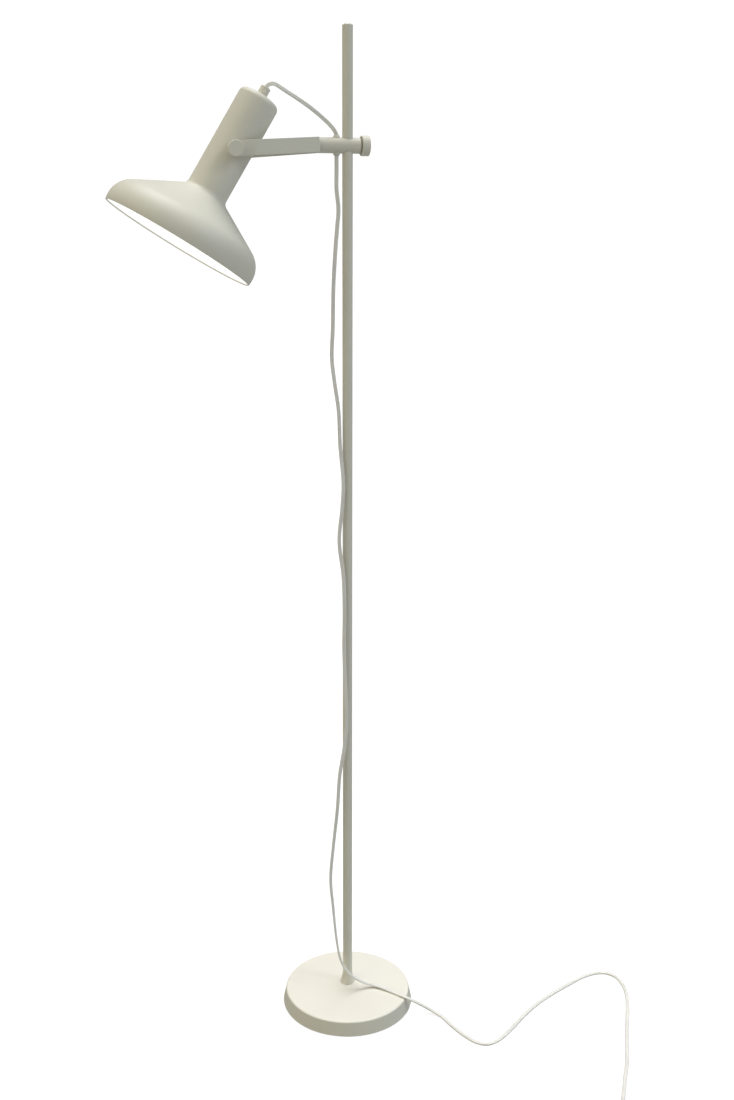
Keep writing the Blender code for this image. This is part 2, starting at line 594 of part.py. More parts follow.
def make_gland(head):
    """Cord gland whose threaded stub goes through the housing and carries the lampholder."""
    top = HOUSING_TOP + GLAND_LENGTH
    seat = HOUSING_TOP + GAP
    stub_end = HOLDER_TOP - 6.0 * MM
    turned("cord_gland",
           [(CORD_BORE, top), (GLAND_RADIUS - 0.8 * MM, top), (GLAND_RADIUS, top - 0.8 * MM),
            (GLAND_RADIUS, seat), (GLAND_STUB, seat), (GLAND_STUB, stub_end), (CORD_BORE, stub_end)],
           (PUTTY, 0.5, 0.0), head, closed=True)
    nut_top = HOUSING_TOP - SHEET - GAP
    turned("gland_nut", [(9.0 * MM, nut_top), (9.0 * MM, nut_top - 4.0 * MM),
                         (6.2 * MM, nut_top - 4.0 * MM), (6.2 * MM, nut_top)],
           (BRASS, 0.4, 1.0), head, segments=6, closed=True)


def make_lampholder(head):
    """Two-part lampholder on the stub, with its contact, and a small globe lamp in it."""
    neck = GLAND_STUB + GAP
    cap_bottom = HOLDER_TOP - 22.0 * MM
    wall = 1.6 * MM
    turned("lampholder_cap",
           [(neck, HOLDER_TOP), (16.0 * MM, HOLDER_TOP), (HOLDER_RADIUS, HOLDER_TOP - 4.0 * MM),
            (HOLDER_RADIUS, cap_bottom), (HOLDER_RADIUS - wall, cap_bottom),
            (HOLDER_RADIUS - wall, HOLDER_TOP - 5.0 * MM), (15.5 * MM, HOLDER_TOP - wall),
            (neck, HOLDER_TOP - wall)],
           (WHITE_PLASTIC, 0.5, 0.0), head, closed=True)
    body_top = cap_bottom - GAP
    seat = body_top - 4.7 * MM
    body_bottom = HOLDER_TOP - 50.0 * MM
    turned("lampholder_body",
           [(0, body_top), (HOLDER_RADIUS, body_top), (HOLDER_RADIUS, body_bottom),
            (14.3 * MM, body_bottom), (14.3 * MM, seat), (0, seat)],
           (WHITE_PLASTIC, 0.5, 0.0), head)
    turned("lampholder_contact",
           [(0, seat - GAP), (4.0 * MM, seat - GAP), (4.0 * MM, seat - 1.5 * MM), (0, seat - 1.5 * MM)],
           (BRASS, 0.35, 1.0), head, segments=16)
    cap_top = seat - 2.0 * MM
    turned("bulb_cap",
           [(0, cap_top), (4.5 * MM, cap_top), (13.2 * MM, cap_top - 3.0 * MM),
            (13.2 * MM, body_bottom - 2.0 * MM), (0, body_bottom - 2.0 * MM)],
           (STEEL, 0.35, 1.0), head)
    neck_top = body_bottom - 2.3 * MM
    globe = 22.5 * MM
    neck_radius = 12.5 * MM
    neck_angle = math.acos(neck_radius / globe)
    centre = neck_top - 5.0 * MM - globe * math.sin(neck_angle)
    turned("bulb_glass",
           [(0, neck_top), (neck_radius, neck_top)]
           + arc(0.0, centre, globe, neck_angle, -math.pi / 2 + 0.15, 8)
           + [(0, centre - globe)],
           (GLASS, 0.3, 0.0), head)


def make_pivot(side_name, side, head):
    """Saddle boss, friction washer, capped pivot screw and inner nut on one side of the housing."""
    bore = PIVOT_SHANK + GAP
    frame = empty_at(f"pivot_{side_name}", (0, 0, 0), (-side * math.pi / 2, 0, 0))
    frame.parent = head
    boss = turned(f"pivot_boss_{side_name}",
                  [(9.0 * MM, 33.2 * MM), (9.0 * MM, 29.0 * MM), (bore, 29.0 * MM), (bore, 33.2 * MM)],
                  (PUTTY, 0.5, 0.0), frame, closed=True)
    outside = cylinder_mesh(f"boss_saddle_tool_{side_name}", HOUSING_RADIUS + GAP, 40.0 * MM, (0, 0, 1), 40)
    cut(boss, cutter(f"boss_saddle_tool_{side_name}", outside, (0, 0, 0), head))
    turned(f"pivot_washer_{side_name}",
           [(9.0 * MM, 34.3 * MM), (9.0 * MM, 33.5 * MM), (bore, 33.5 * MM), (bore, 34.3 * MM)],
           (NYLON, 0.5, 0.0), frame, closed=True)
    edge = 0.6 * MM
    turned(f"pivot_cap_{side_name}",
           [(0, PIVOT_CAP_OUTER), (PIVOT_CAP_RADIUS - edge, PIVOT_CAP_OUTER),
            (PIVOT_CAP_RADIUS, PIVOT_CAP_OUTER - edge), (PIVOT_CAP_RADIUS, PIVOT_CAP_INNER),
            (PIVOT_SHANK, PIVOT_CAP_INNER), (PIVOT_SHANK, 24.5 * MM), (0, 24.5 * MM)],
           (PUTTY, 0.45, 0.0), frame)
    nut = turned(f"pivot_nut_{side_name}",
                 [(6.5 * MM, 31.0 * MM), (6.5 * MM, 25.5 * MM), (bore, 25.5 * MM), (bore, 31.0 * MM)],
                 (STEEL, 0.4, 1.0), frame, closed=True)
    inside = cylinder_mesh(f"nut_saddle_tool_{side_name}", HOUSING_RADIUS - SHEET - GAP, 40.0 * MM,
                           (0, 0, 1), 40)
    cut(nut, cutter(f"nut_saddle_tool_{side_name}", inside, (0, 0, 0), head), "INTERSECT")


# ---- Cord, foot switch and plug ----

def gland_points():
    """Cord through the stub and gland along the head's axis, and round its bend, in the world frame."""
    axis = Vector((math.sin(HEAD_TILT), 0, math.cos(HEAD_TILT)))
    start = PIVOT + axis * (HOLDER_TOP - 4.0 * MM)
    mouth = PIVOT + axis * (HOUSING_TOP + GLAND_LENGTH + 1.0 * MM)
    sideways = Vector((axis.z, 0, -axis.x))
    centre = mouth + sideways * LEAD_BEND
    first = math.atan2(-sideways.z, -sideways.x)
    last = math.pi / 2 - LEAD_FALL
    angles = np.linspace(first, last, 7)
    bend = [centre + LEAD_BEND * Vector((math.cos(a), 0, math.sin(a))) for a in angles]
    return [start, (start + mouth) / 2] + bend


def upper_lead_points():
    """Whole upper lead, from the lampholder to the middle of the barrel."""
    sloping = [Vector((x, 0.0, z)) for x, z in UPPER_LEAD]
    inside = [Vector((CABLE_HOLE_X, 0, BARREL_HEIGHT + height)) for height in (5.0 * MM, GAP / 2)]
    return gland_points() + sloping + inside


def switch_frame():
    """Where the switch's near relief starts, and its middle, on the cord's heading."""
    start = Vector(FLOOR_RUN[-1]) + heading_vector(FLOOR_HEADING) * SWITCH_APPROACH
    start.z = 0.0
    middle = start + heading_vector(FLOOR_HEADING) * (RELIEF_LENGTH + SWITCH_LENGTH / 2)
    return start, middle


def coil_frame():
    """Route from the switch to the coil: a straight, a right-hand turn and a straight to the tangent point."""
    leave = switch_frame()[1] + heading_vector(FLOOR_HEADING) * (SWITCH_LENGTH / 2 + RELIEF_LENGTH)
    turn_start = leave + heading_vector(FLOOR_HEADING) * AFTER_SWITCH
    centre = turn_start + heading_vector(FLOOR_HEADING - math.pi / 2) * COIL_TURN_RADIUS
    headings = [FLOOR_HEADING - COIL_TURN * share for share in np.linspace(0, 1, 5)]
    turn = [centre + heading_vector(h + math.pi / 2) * COIL_TURN_RADIUS for h in headings]
    tangent = turn[-1] + heading_vector(headings[-1]) * COIL_APPROACH
    coil_centre = tangent + heading_vector(headings[-1] - math.pi / 2) * COIL_LANE
    return leave, turn, tangent, coil_centre, headings[-1]


def make_cords():
    """The four plain tubes of the cord, and the solid of its coil."""
    cord_tube("cord_upper", smooth_route(upper_lead_points(), lead_spacing))
    split = [place for place in DROP if place[2] > SWIVEL_END + 5.0 * MM]
    boundary = Vector((-0.0196, -0.0019, SWIVEL_END))
    cord_tube("cord_swivel", smooth_route(split + [boundary + Vector((0, 0, GAP / 2))], 20.0 * MM))
    start, _ = switch_frame()
    entry = Vector((start.x, start.y, CORD_ENTRY_HEIGHT)) - heading_vector(FLOOR_HEADING) * GAP
    before = entry - heading_vector(FLOOR_HEADING) * 10.0 * MM
    rest = [place for place in DROP if place[2] < SWIVEL_END]
    long_run = [boundary - Vector((0, 0, GAP / 2))] + rest + list(FLOOR_RUN) + [before, entry]
    cord_tube("cord_drop", smooth_route(long_run, drop_spacing))
    leave, turn, tangent, centre, heading = coil_frame()
    height = Vector((0, 0, CORD_ENTRY_HEIGHT))
    rest_height = Vector((0, 0, CORD_REST))
    first = leave + height + heading_vector(FLOOR_HEADING) * GAP
    stop = tangent - heading_vector(heading) * CLEAR_OF_COIL
    cord_tube("cord_link", smooth_route([first] + [place + rest_height for place in turn]
                                        + [stop + Vector((0, 0, CORD_REST + COIL_LIFT))], 13.0 * MM))
    ring = turned("cord_coil",
                  [(COIL_OUTER, COIL_HEIGHT), (COIL_OUTER, 0), (COIL_INNER, 0), (COIL_INNER, COIL_HEIGHT)],
                  (WHITE_PLASTIC, 0.45, 0.0), segments=32, closed=True)
    ring.location = centre + Vector((0, 0, COIL_LIFT))
    away = heading_vector(heading)
    top = COIL_LIFT + COIL_HEIGHT - CORD_REST
    fall = ((0.0, top - 1.5 * MM), (0.4, 0.6 * top + 0.4 * PLUG_CENTRE), (0.75, PLUG_CENTRE), (1.0, PLUG_CENTRE))
    tail = [tangent + away * (CLEAR_OF_COIL + share * TAIL_LENGTH) + Vector((0, 0, height))
            for share, height in fall]
    cord_tube("cord_tail", smooth_route(tail, 6.0 * MM))
    make_tie(centre, heading)
    return tail[-1], heading


def make_tie(centre, heading):
    """Flat band closed round the coil's section, on the side away from the plug."""
    outward = heading_vector(heading - math.pi / 2)
    middle_radius = (COIL_INNER + COIL_OUTER) / 2
    width = COIL_OUTER - COIL_INNER + 4 * GAP
    height = COIL_HEIGHT + 4 * GAP
    outer = rounded_rectangle(width + 2 * TIE_WALL, height + 2 * TIE_WALL, 2.0 * MM, 4)
    tie = add_part("coil_tie", plate_mesh("coil_tie", outer, 8.0 * MM), (BLACK_RUBBER, 0.6, 0.0))
    place = centre + outward * middle_radius + Vector((0, 0, COIL_LIFT + COIL_HEIGHT / 2))
    # the band's plane holds the outward direction and the vertical
    tie.rotation_euler = (math.pi / 2, 0, heading - math.pi / 2)
    tie.location = place
    hole = box_mesh("tie_hole_tool", (width, height, 20.0 * MM))
    cut(tie, cutter("tie_hole_tool", hole, place, rotation=tie.rotation_euler))


def make_relief(name, frame, reverse=False):
    """Tapered strain relief: wide at the housing, narrow where the cord comes out."""
    relief = turned(name, [(CORD_BORE, RELIEF_LENGTH), (CORD_BORE + 0.9 * MM, RELIEF_LENGTH),
                           (6.4 * MM, 0), (CORD_BORE, 0)],
                    (WHITE_PLASTIC, 0.5, 0.0), frame, closed=True)
    relief.rotation_euler = (0, -math.pi / 2 if reverse else math.pi / 2, 0)
    return relief


def make_switch():
    """In-line foot switch: base tray, cover, push button, mechanism and strain reliefs."""
    _, middle = switch_frame()
    frame = empty_at("switch_frame", middle, (0, 0, FLOOR_HEADING))
    outline = rounded_rectangle(SWITCH_LENGTH, SWITCH_WIDTH, 12.0 * MM)
    base = add_part("switch_base", plate_mesh("switch_base", outline, SWITCH_FLOOR),
                    (WHITE_PLASTIC, 0.5, 0.0), frame)
    base.location = (0, 0, SWITCH_FLOOR / 2)
    cover_low = SWITCH_FLOOR + GAP
    cover_height = SWITCH_HEIGHT - cover_low
    cover = add_part("switch_cover", plate_mesh("switch_cover", outline, cover_height),
                     (WHITE_PLASTIC, 0.45, 0.0), frame)
    cover.location = (0, 0, cover_low + cover_height / 2)
    bevel(cover, 2.5 * MM)
    inside = rounded_rectangle(SWITCH_LENGTH - 2 * SWITCH_WALL, SWITCH_WIDTH - 2 * SWITCH_WALL, 10.5 * MM)
    depth = SWITCH_HEIGHT - SWITCH_WALL
    cut(cover, cutter("switch_cavity_tool", plate_mesh("switch_cavity_tool", inside, depth),
                      (0, 0, depth / 2), frame))
    hole = cylinder_mesh("button_hole_tool", BUTTON_RADIUS + GAP, 20.0 * MM, (0, 0, 1), 32)
    cut(cover, cutter("button_hole_tool", hole, (0, 0, SWITCH_HEIGHT), frame))
    button_bottom = 10.0 * MM
    button_top = SWITCH_HEIGHT + 3.0 * MM
    turned("switch_button",
           [(0, button_top), (BUTTON_RADIUS - 1.0 * MM, button_top), (BUTTON_RADIUS, button_top - 1.0 * MM),
            (BUTTON_RADIUS, button_bottom), (0, button_bottom)],
           (WHITE_PLASTIC, 0.4, 0.0), frame)
    block = add_part("switch_mechanism", box_mesh("switch_mechanism", (24.0 * MM, 16.0 * MM, 3.6 * MM)),
                     (BLACK_RUBBER, 0.6, 0.0), frame)
    block.location = (0, 0, cover_low + 1.8 * MM)
    for name, sign in (("switch_relief_in", -1), ("switch_relief_out", 1)):
        relief = make_relief(name, frame, reverse=sign < 0)
        relief.location = (sign * (SWITCH_LENGTH / 2 + GAP), 0, CORD_ENTRY_HEIGHT)


def make_plug(cord_end, heading):
    """Flat two-pin plug lying beside the coil, with its strain relief on the cord."""
    place = Vector(cord_end)
    frame = empty_at("plug_frame", place, (0, 0, heading))
    relief = make_relief("plug_relief", frame, reverse=True)
    relief.location = (RELIEF_LENGTH - PLUG_GRIP, 0, 0)
    front = RELIEF_LENGTH - PLUG_GRIP + GAP
    outline = rounded_rectangle(PLUG_LENGTH, PLUG_WIDTH, 9.0 * MM)
    body = add_part("plug_body", plate_mesh("plug_body", outline, PLUG_THICKNESS),
                    (WHITE_PLASTIC, 0.45, 0.0), frame)
    body.location = (front + PLUG_LENGTH / 2, 0, 0)
    bevel(body, 2.5 * MM)
    for number, side in enumerate((-1, 1)):
        start = front + PLUG_LENGTH - 6.0 * MM
        length = PLUG_PIN_LENGTH + 6.0 * MM
        pin = cylinder_mesh(f"plug_pin_{number + 1}", PLUG_PIN_RADIUS, length, (1, 0, 0), 16)
        pin = add_part(f"plug_pin_{number + 1}", pin, (BRASS, 0.3, 1.0), frame)
        pin.location = (start + length / 2, side * PLUG_PIN_SPACING / 2, 0)
        tool = f"plug_socket_tool_{number + 1}"
        socket = cylinder_mesh(tool, PLUG_PIN_RADIUS + GAP, length + 2 * GAP, (1, 0, 0), 16)
        cut(body, cutter(tool, socket,
                         (start + length / 2, side * PLUG_PIN_SPACING / 2, 0), frame))


def build_lamp():
    """Make every sub-part in its place."""
    make_base()
    make_pole()
    arm_frame = empty_at("arm_axis", (0, 0, BARREL_HEIGHT), (0, math.pi / 2, 0))
    fork_frame = empty_at("fork_axis", PIVOT, (0, -FORK_DROOP, 0))
    head_frame = empty_at("head_pivot", PIVOT, (0, HEAD_TILT, 0))
    bpy.context.view_layer.update()
    make_barrel(arm_frame)
    make_bush()
    make_grommet("grommet_top", 1)
    make_grommet("grommet_bottom", -1)
    make_clamp(arm_frame)
    make_fork(fork_frame)
    make_shade(head_frame)
    make_gland(head_frame)
    make_lampholder(head_frame)
    make_pivot("near", -1, head_frame)
    make_pivot("far", 1, head_frame)
    cord_end, heading = make_cords()
    make_switch()
    make_plug(cord_end, heading)
    bpy.context.view_layer.update()


clear_scene()
PARTS = new_collection(OBJECT_NAME)
CUTTERS = new_collection("cutters")
build_lamp()
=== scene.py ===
# %% [markdown]
# # Adjustable arm floor lamp
# A reading lamp with a slim pole on a heavy round base. A clamp arm slides and swivels on the pole and
# holds a spun shade that tilts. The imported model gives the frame; this script makes the surfaces.

# %% Load the frame
import json
import math

import bmesh
import bpy
import numpy as np
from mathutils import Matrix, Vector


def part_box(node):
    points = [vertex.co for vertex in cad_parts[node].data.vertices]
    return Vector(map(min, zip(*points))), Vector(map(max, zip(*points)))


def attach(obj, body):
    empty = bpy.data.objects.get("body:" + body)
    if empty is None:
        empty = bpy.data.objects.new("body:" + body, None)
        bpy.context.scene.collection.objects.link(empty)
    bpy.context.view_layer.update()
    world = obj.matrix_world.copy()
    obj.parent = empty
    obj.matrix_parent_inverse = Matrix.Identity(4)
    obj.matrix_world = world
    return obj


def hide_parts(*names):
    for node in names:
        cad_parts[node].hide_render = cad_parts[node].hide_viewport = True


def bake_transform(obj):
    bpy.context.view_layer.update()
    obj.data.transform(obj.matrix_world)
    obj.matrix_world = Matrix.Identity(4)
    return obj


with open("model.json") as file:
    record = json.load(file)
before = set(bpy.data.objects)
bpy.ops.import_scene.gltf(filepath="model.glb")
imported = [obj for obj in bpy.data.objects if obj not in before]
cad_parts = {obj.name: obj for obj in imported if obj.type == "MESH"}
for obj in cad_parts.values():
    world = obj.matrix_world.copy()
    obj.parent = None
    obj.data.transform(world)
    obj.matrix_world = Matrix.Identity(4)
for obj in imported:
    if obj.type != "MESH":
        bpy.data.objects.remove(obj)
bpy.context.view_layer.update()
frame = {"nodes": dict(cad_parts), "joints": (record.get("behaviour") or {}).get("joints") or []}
MM = 0.001

# %% [markdown]
# ## Camera
# The lamp is seen from a little left of its front, from just below the height of the head, looking down
# a few degrees. A small shift keeps the pole left of the middle without turning the camera.

# %% Camera
VIEW_HEADING = math.radians(15.0)
VIEW_PITCH = math.radians(14.23)
VIEW_PLACE = (-0.5075, -1.8941, 1.3243)
camera = bpy.data.objects.new("camera", bpy.data.cameras.new("camera"))
bpy.context.scene.collection.objects.link(camera)
camera.location = VIEW_PLACE
camera.rotation_euler = (math.pi / 2 - VIEW_PITCH, 0.0, -VIEW_HEADING)
camera.data.lens = 40.66
camera.data.shift_x = 0.0177
camera.data.clip_end = 60.0
bpy.context.scene.camera = camera
bpy.context.scene.view_settings.view_transform = "Standard"
print("camera looks down", round(math.degrees(VIEW_PITCH), 1), "degrees")

# %% [markdown]
# ## Placement frames
# Every turned piece is worked out about its own axis and then put in place. A frame is a 4 by 4 matrix
# whose third column is the piece's axis, so the same outline works for the pole, the arm and the head.


# %% Placement frames
def unit(vectors):
    """Vectors divided by their lengths."""
    return vectors / np.linalg.norm(vectors, axis=-1, keepdims=True)


def placement(origin, axis, side=(0.0, 1.0, 0.0)):
    """Frame with its Z along axis and its Y as near to side as it can be."""
    z_axis = unit(np.array(axis, float))
    x_axis = unit(np.cross(np.array(side, float), z_axis))
    matrix = np.eye(4)
    matrix[:3, :3] = np.stack([x_axis, np.cross(z_axis, x_axis), z_axis], axis=1)
    matrix[:3, 3] = origin
    return matrix


def put(points, matrix):
    """Points of a frame in the lamp's own coordinates."""
    return points @ matrix[:3, :3].T + matrix[:3, 3]


def turned_places(mesh, matrix):
    """Radius and station of every corner of a mesh about a frame's axis."""
    corners = np.empty(len(mesh.vertices) * 3, np.float32)
    mesh.vertices.foreach_get("co", corners)
    local = (corners.reshape(-1, 3) - matrix[:3, 3]) @ matrix[:3, :3]
    return np.stack([np.hypot(local[:, 0], local[:, 1]), local[:, 2]], axis=1)


def measured(node, matrix):
    """Smallest and largest radius, and lowest and highest station, of a CAD node about a frame's axis."""
    places = turned_places(frame["nodes"][node].data, matrix)
    least, most = places.min(axis=0), places.max(axis=0)
    return float(least[0]), float(most[0]), float(least[1]), float(most[1])


JOINTS = {joint["name"]: joint for joint in frame["joints"]}
HEAD_TILT = math.radians(31.7)
FORK_DROOP = math.radians(4.1)
PIVOT = np.array(JOINTS["head_tilt"]["pos_m"])
AXIS_HEIGHT = JOINTS["arm_swivel"]["pos_m"][2]
STAND = placement((0, 0, 0), (0, 0, 1))
ARM = placement((0, 0, AXIS_HEIGHT), (1, 0, 0))
HEAD = placement(PIVOT, (math.sin(HEAD_TILT), 0, math.cos(HEAD_TILT)))
SIDES = {"near": placement(PIVOT, (0, -1, 0), (0, 0, 1)), "far": placement(PIVOT, (0, 1, 0), (0, 0, 1))}
print("arm axis", AXIS_HEIGHT, "m up, pivot at", PIVOT)

# %% [markdown]
# ## Surfaces
# A piece is a grid: one parameter runs round it and the other along it. The helpers below join a grid
# into faces, weld its seams and poles, and hand the piece to the frame.


# %% From a grid to a piece
def grid_faces(rows, columns, loop_rows=False, loop_columns=True):
    """Four corners of each face between neighbouring grid points; a looped side joins its ends."""
    row = np.arange(rows if loop_rows else rows - 1)
    column = np.arange(columns if loop_columns else columns - 1)
    row, column = np.meshgrid(row, column, indexing="ij")
    next_row, next_column = (row + 1) % rows, (column + 1) % columns
    corners = (row * columns + column, next_row * columns + column,
               next_row * columns + next_column, row * columns + next_column)
    return np.stack(corners, axis=-1).reshape(-1, 4)


def welded_mesh(name, points, faces, sharp=40.0):
    """Mesh with its seams and poles welded, faces turned outwards and sharp edges marked by angle."""
    mesh = bpy.data.meshes.new(name)
    mesh.from_pydata(points, [], faces)
    shape = bmesh.new()
    shape.from_mesh(mesh)
    bmesh.ops.remove_doubles(shape, verts=shape.verts, dist=0.002 * MM)
    bmesh.ops.recalc_face_normals(shape, faces=shape.faces)
    shape.to_mesh(mesh)
    shape.free()
    mesh.shade_smooth()
    mesh.set_sharp_from_angle(angle=math.radians(sharp))
    return mesh


def add_piece(name, mesh, finish, body, *stands_for):
    """Link a finished mesh as a piece that rides on a body and stands for its CAD nodes."""
    piece = bpy.data.objects.new(name, mesh)
    bpy.context.scene.collection.objects.link(piece)
    mesh.materials.clear()
    mesh.materials.append(FINISHES[finish])
    if body:
        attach(piece, body)
    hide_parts(*stands_for)
    print(f"{name}: {len(mesh.polygons)} faces")
    return piece


def cut_mesh(mesh, tools, operation="DIFFERENCE", sharp=40.0):
    """The mesh after exact Booleans with tool meshes."""
    body = bpy.data.objects.new("work", mesh)
    bpy.context.scene.collection.objects.link(body)
    helpers = [bpy.data.objects.new("tool", tool) for tool in tools]
    for helper in helpers:
        bpy.context.scene.collection.objects.link(helper)
        boolean = body.modifiers.new("cut", "BOOLEAN")
        boolean.operation = operation
        boolean.object = helper
    graph = bpy.context.evaluated_depsgraph_get()
    result = bpy.data.meshes.new_from_object(body.evaluated_get(graph))
    for helper in helpers + [body]:
        bpy.data.objects.remove(helper)
    result.shade_smooth()
    result.set_sharp_from_angle(angle=math.radians(sharp))
    return result


# %% [markdown]
# A turned outline lists its corners as (radius, station). Real turned and spun metal never has a
# knife edge, so every corner becomes a small arc. A guard point beside each arc keeps the flat
# faces flat when they are shaded smooth.


# %% Turned surfaces
def rounded(corners, radius, steps=4, closed=True):
    """Outline whose corners are arcs that touch both sides at radius / tan(half the corner's angle)."""
    corners = np.array(corners, float)
    radii = np.broadcast_to(radius, len(corners))
    before = np.roll(corners, 1, axis=0) - corners
    after = np.roll(corners, -1, axis=0) - corners
    points = []
    for index, corner in enumerate(corners):
        end = not closed and index in (0, len(corners) - 1)
        if end or radii[index] == 0:
            points.append(corner[None])
            continue
        room = 0.42 * min(np.linalg.norm(before[index]), np.linalg.norm(after[index]))
        back, ahead = unit(before[index]), unit(after[index])
        half = math.acos(np.clip(back @ ahead, -1, 1)) / 2
        reach = min(radii[index] / math.tan(half), room)
        centre = corner + unit(back + ahead) * reach / math.cos(half)
        share = np.linspace(0, 1, steps + 1)[:, None]
        first, last = unit(corner + back * reach - centre), unit(corner + ahead * reach - centre)
        arc = centre + unit(first * (1 - share) + last * share) * reach * math.tan(half)
        guard = min(1.6 * reach, 1.15 * room)
        points.append(np.vstack([corner + back * guard, arc, corner + ahead * guard]))
    return np.vstack(points)


def turned_mesh(name, outline, matrix, around=96, closed=True, sharp=40.0):
    """Surface of revolution: (r cos a, r sin a, z) for each outline point (r, z) and each angle a."""
    angle = np.linspace(0, 2 * math.pi, around, endpoint=False)
    radius, station = outline[:, :1], outline[:, 1:]
    points = np.stack([radius * np.cos(angle), radius * np.sin(angle), station + 0 * angle], axis=-1)
    faces = grid_faces(len(outline), around, loop_rows=closed)
    return welded_mesh(name, put(points.reshape(-1, 3), matrix), faces, sharp)


def rod_mesh(radius, low, high, matrix, around=64):
    """Plain closed cylinder between two stations, used as a cutting tool."""
    outline = np.array([(0, high), (radius, high), (radius, low), (0, low)], float)
    return turned_mesh("rod", outline, matrix, around, closed=False)


# %% [markdown]
# Flat and moulded pieces are stacks of outlines. Each ring is the outline moved inwards by a set
# amount at a set height, and the first and last rings fall onto a spine, which closes both faces.


# %% Stacked outlines
def stacked_points(outline, outward, spine, profile):
    """Rings p - inset n at each height of the profile, closed onto the spine at both ends."""
    inset, height = profile[:, 0, None, None], profile[:, 1, None, None]
    rings = outline[None] - inset * outward[None]
    rings = np.concatenate([spine[None], rings, spine[None]])
    levels = np.concatenate([height[:1], height, height[-1:]])
    return np.concatenate([rings, np.broadcast_to(levels, rings.shape[:2] + (1,))], axis=2)


def slab_profile(low, high, edge, steps=4):
    """(inset, height) from the top face round a rounded edge down to the bottom face."""
    turn = np.linspace(0, math.pi / 2, steps + 1)
    inset = np.concatenate([[2.2 * edge], edge * (1 - np.sin(turn)), edge * (1 - np.cos(turn)), [2.2 * edge]])
    top = np.concatenate([[high], high - edge * (1 - np.cos(turn))])
    bottom = np.concatenate([low + edge * (1 - np.sin(turn)), [low]])
    return np.stack([inset, np.concatenate([top, bottom])], axis=1)


def rounded_box_outline(length, width, corner, steps=8):
    """Rectangle with round corners, its outward directions, and its spine along the middle."""
    angle = np.concatenate([np.linspace(q, q + 1, steps + 1) for q in range(4)]) * math.pi / 2
    outward = np.stack([np.cos(angle), np.sin(angle)], axis=1)
    quarter = np.repeat(np.arange(4), steps + 1)
    signs = np.array([(1, 1), (-1, 1), (-1, -1), (1, -1)])[quarter]
    centre = signs * np.array([length / 2 - corner, width / 2 - corner])
    outline = centre + corner * outward
    half_spine = max(length - width, 0.0) / 2
    spine = np.stack([np.clip(outline[:, 0], -half_spine, half_spine), 0 * outline[:, 1]], axis=1)
    return outline, outward, spine


def stacked_mesh(name, points, matrix, sharp=40.0):
    """Mesh of stacked rings, put in place."""
    rings, around = points.shape[:2]
    return welded_mesh(name, put(points.reshape(-1, 3), matrix), grid_faces(rings, around), sharp)


# %% [markdown]
# ## Finishes
# Shader maths is written as expressions. A Signal wraps one socket, and each operator adds the Math
# node that does it, so a formula in the text is the formula in the material.


# %% Shader expressions
class Signal:
    """A number from a shader socket, ready for use in an expression."""

    def __init__(self, tree, socket):
        self.tree = tree
        self.socket = socket

    def combined(self, operation, first, second):
        node = add_node(self.tree, "ShaderNodeMath", {"operation": operation}, {0: first, 1: second})
        return Signal(self.tree, node.outputs[0])

    def __add__(self, other):
        return self.combined("ADD", self, other)

    __radd__ = __add__

    def __sub__(self, other):
        return self.combined("SUBTRACT", self, other)

    def __mul__(self, other):
        return self.combined("MULTIPLY", self, other)

    __rmul__ = __mul__


def add_node(tree, kind, settings=None, inputs=None):
    """One node: its settings first, then the values or links of its sockets."""
    node = tree.nodes.new(kind)
    for key, value in (settings or {}).items():
        setattr(node, key, value)
    for key, value in (inputs or {}).items():
        if isinstance(value, Signal):
            tree.links.new(value.socket, node.inputs[key])
        elif isinstance(value, bpy.types.NodeSocket):
            tree.links.new(value, node.inputs[key])
        else:
            node.inputs[key].default_value = value
    return node


class Finish:
    """A material under construction, with its Principled shader and Object coordinates."""

    def __init__(self, name, constants=None):
        self.material = bpy.data.materials.new(name)
        self.material.use_nodes = True
        self.tree = self.material.node_tree
        self.shader = self.tree.nodes["Principled BSDF"]
        self.place = add_node(self.tree, "ShaderNodeTexCoord").outputs["Object"]
        for key, value in (constants or {}).items():
            self.shader.inputs[key].default_value = value
        FINISHES[name] = self.material

    def noise(self, scale, detail=3.0, roughness=0.55, place=None):
        """Noise from 0 to 1 with features 1 / scale metres wide."""
        inputs = {"Vector": place or self.place, "Scale": scale, "Detail": detail, "Roughness": roughness}
        node = add_node(self.tree, "ShaderNodeTexNoise", {}, inputs)
        return Signal(self.tree, node.outputs["Fac"])

    def mixed(self, share, first, second):
        """Colour between two colours."""
        node = add_node(self.tree, "ShaderNodeMix", {"data_type": "RGBA"}, {0: share, 6: first, 7: second})
        return node.outputs[2]

    def ramp(self, signal, low, high):
        """The signal's stretch from low to high, spread over 0 to 1."""
        node = add_node(self.tree, "ShaderNodeMapRange", {"interpolation_type": "SMOOTHSTEP"},
                        {0: signal, 1: low, 2: high})
        return Signal(self.tree, node.outputs[0])

    def stretched(self, factors):
        """Object coordinates scaled along each axis."""
        node = add_node(self.tree, "ShaderNodeMapping", {}, {"Vector": self.place, "Scale": factors})
        return node.outputs["Vector"]

    def link(self, socket, source):
        """Feed one of the shader's sockets."""
        source = source.socket if isinstance(source, Signal) else source
        self.tree.links.new(source, self.shader.inputs[socket])

    def bump(self, height, depth, strength=1.0):
        """Bump of a given depth in metres."""
        node = add_node(self.tree, "ShaderNodeBump", {},
                        {"Height": height, "Distance": depth, "Strength": strength})
        self.tree.links.new(node.outputs[0], self.shader.inputs["Normal"])


FINISHES = {}

# %% [markdown]
# The metal is powder coated. Baked powder leaves a fine orange peel about a millimetre across, a
# faint mottle in its colour, and a satin gloss that dust and hands dull in patches.


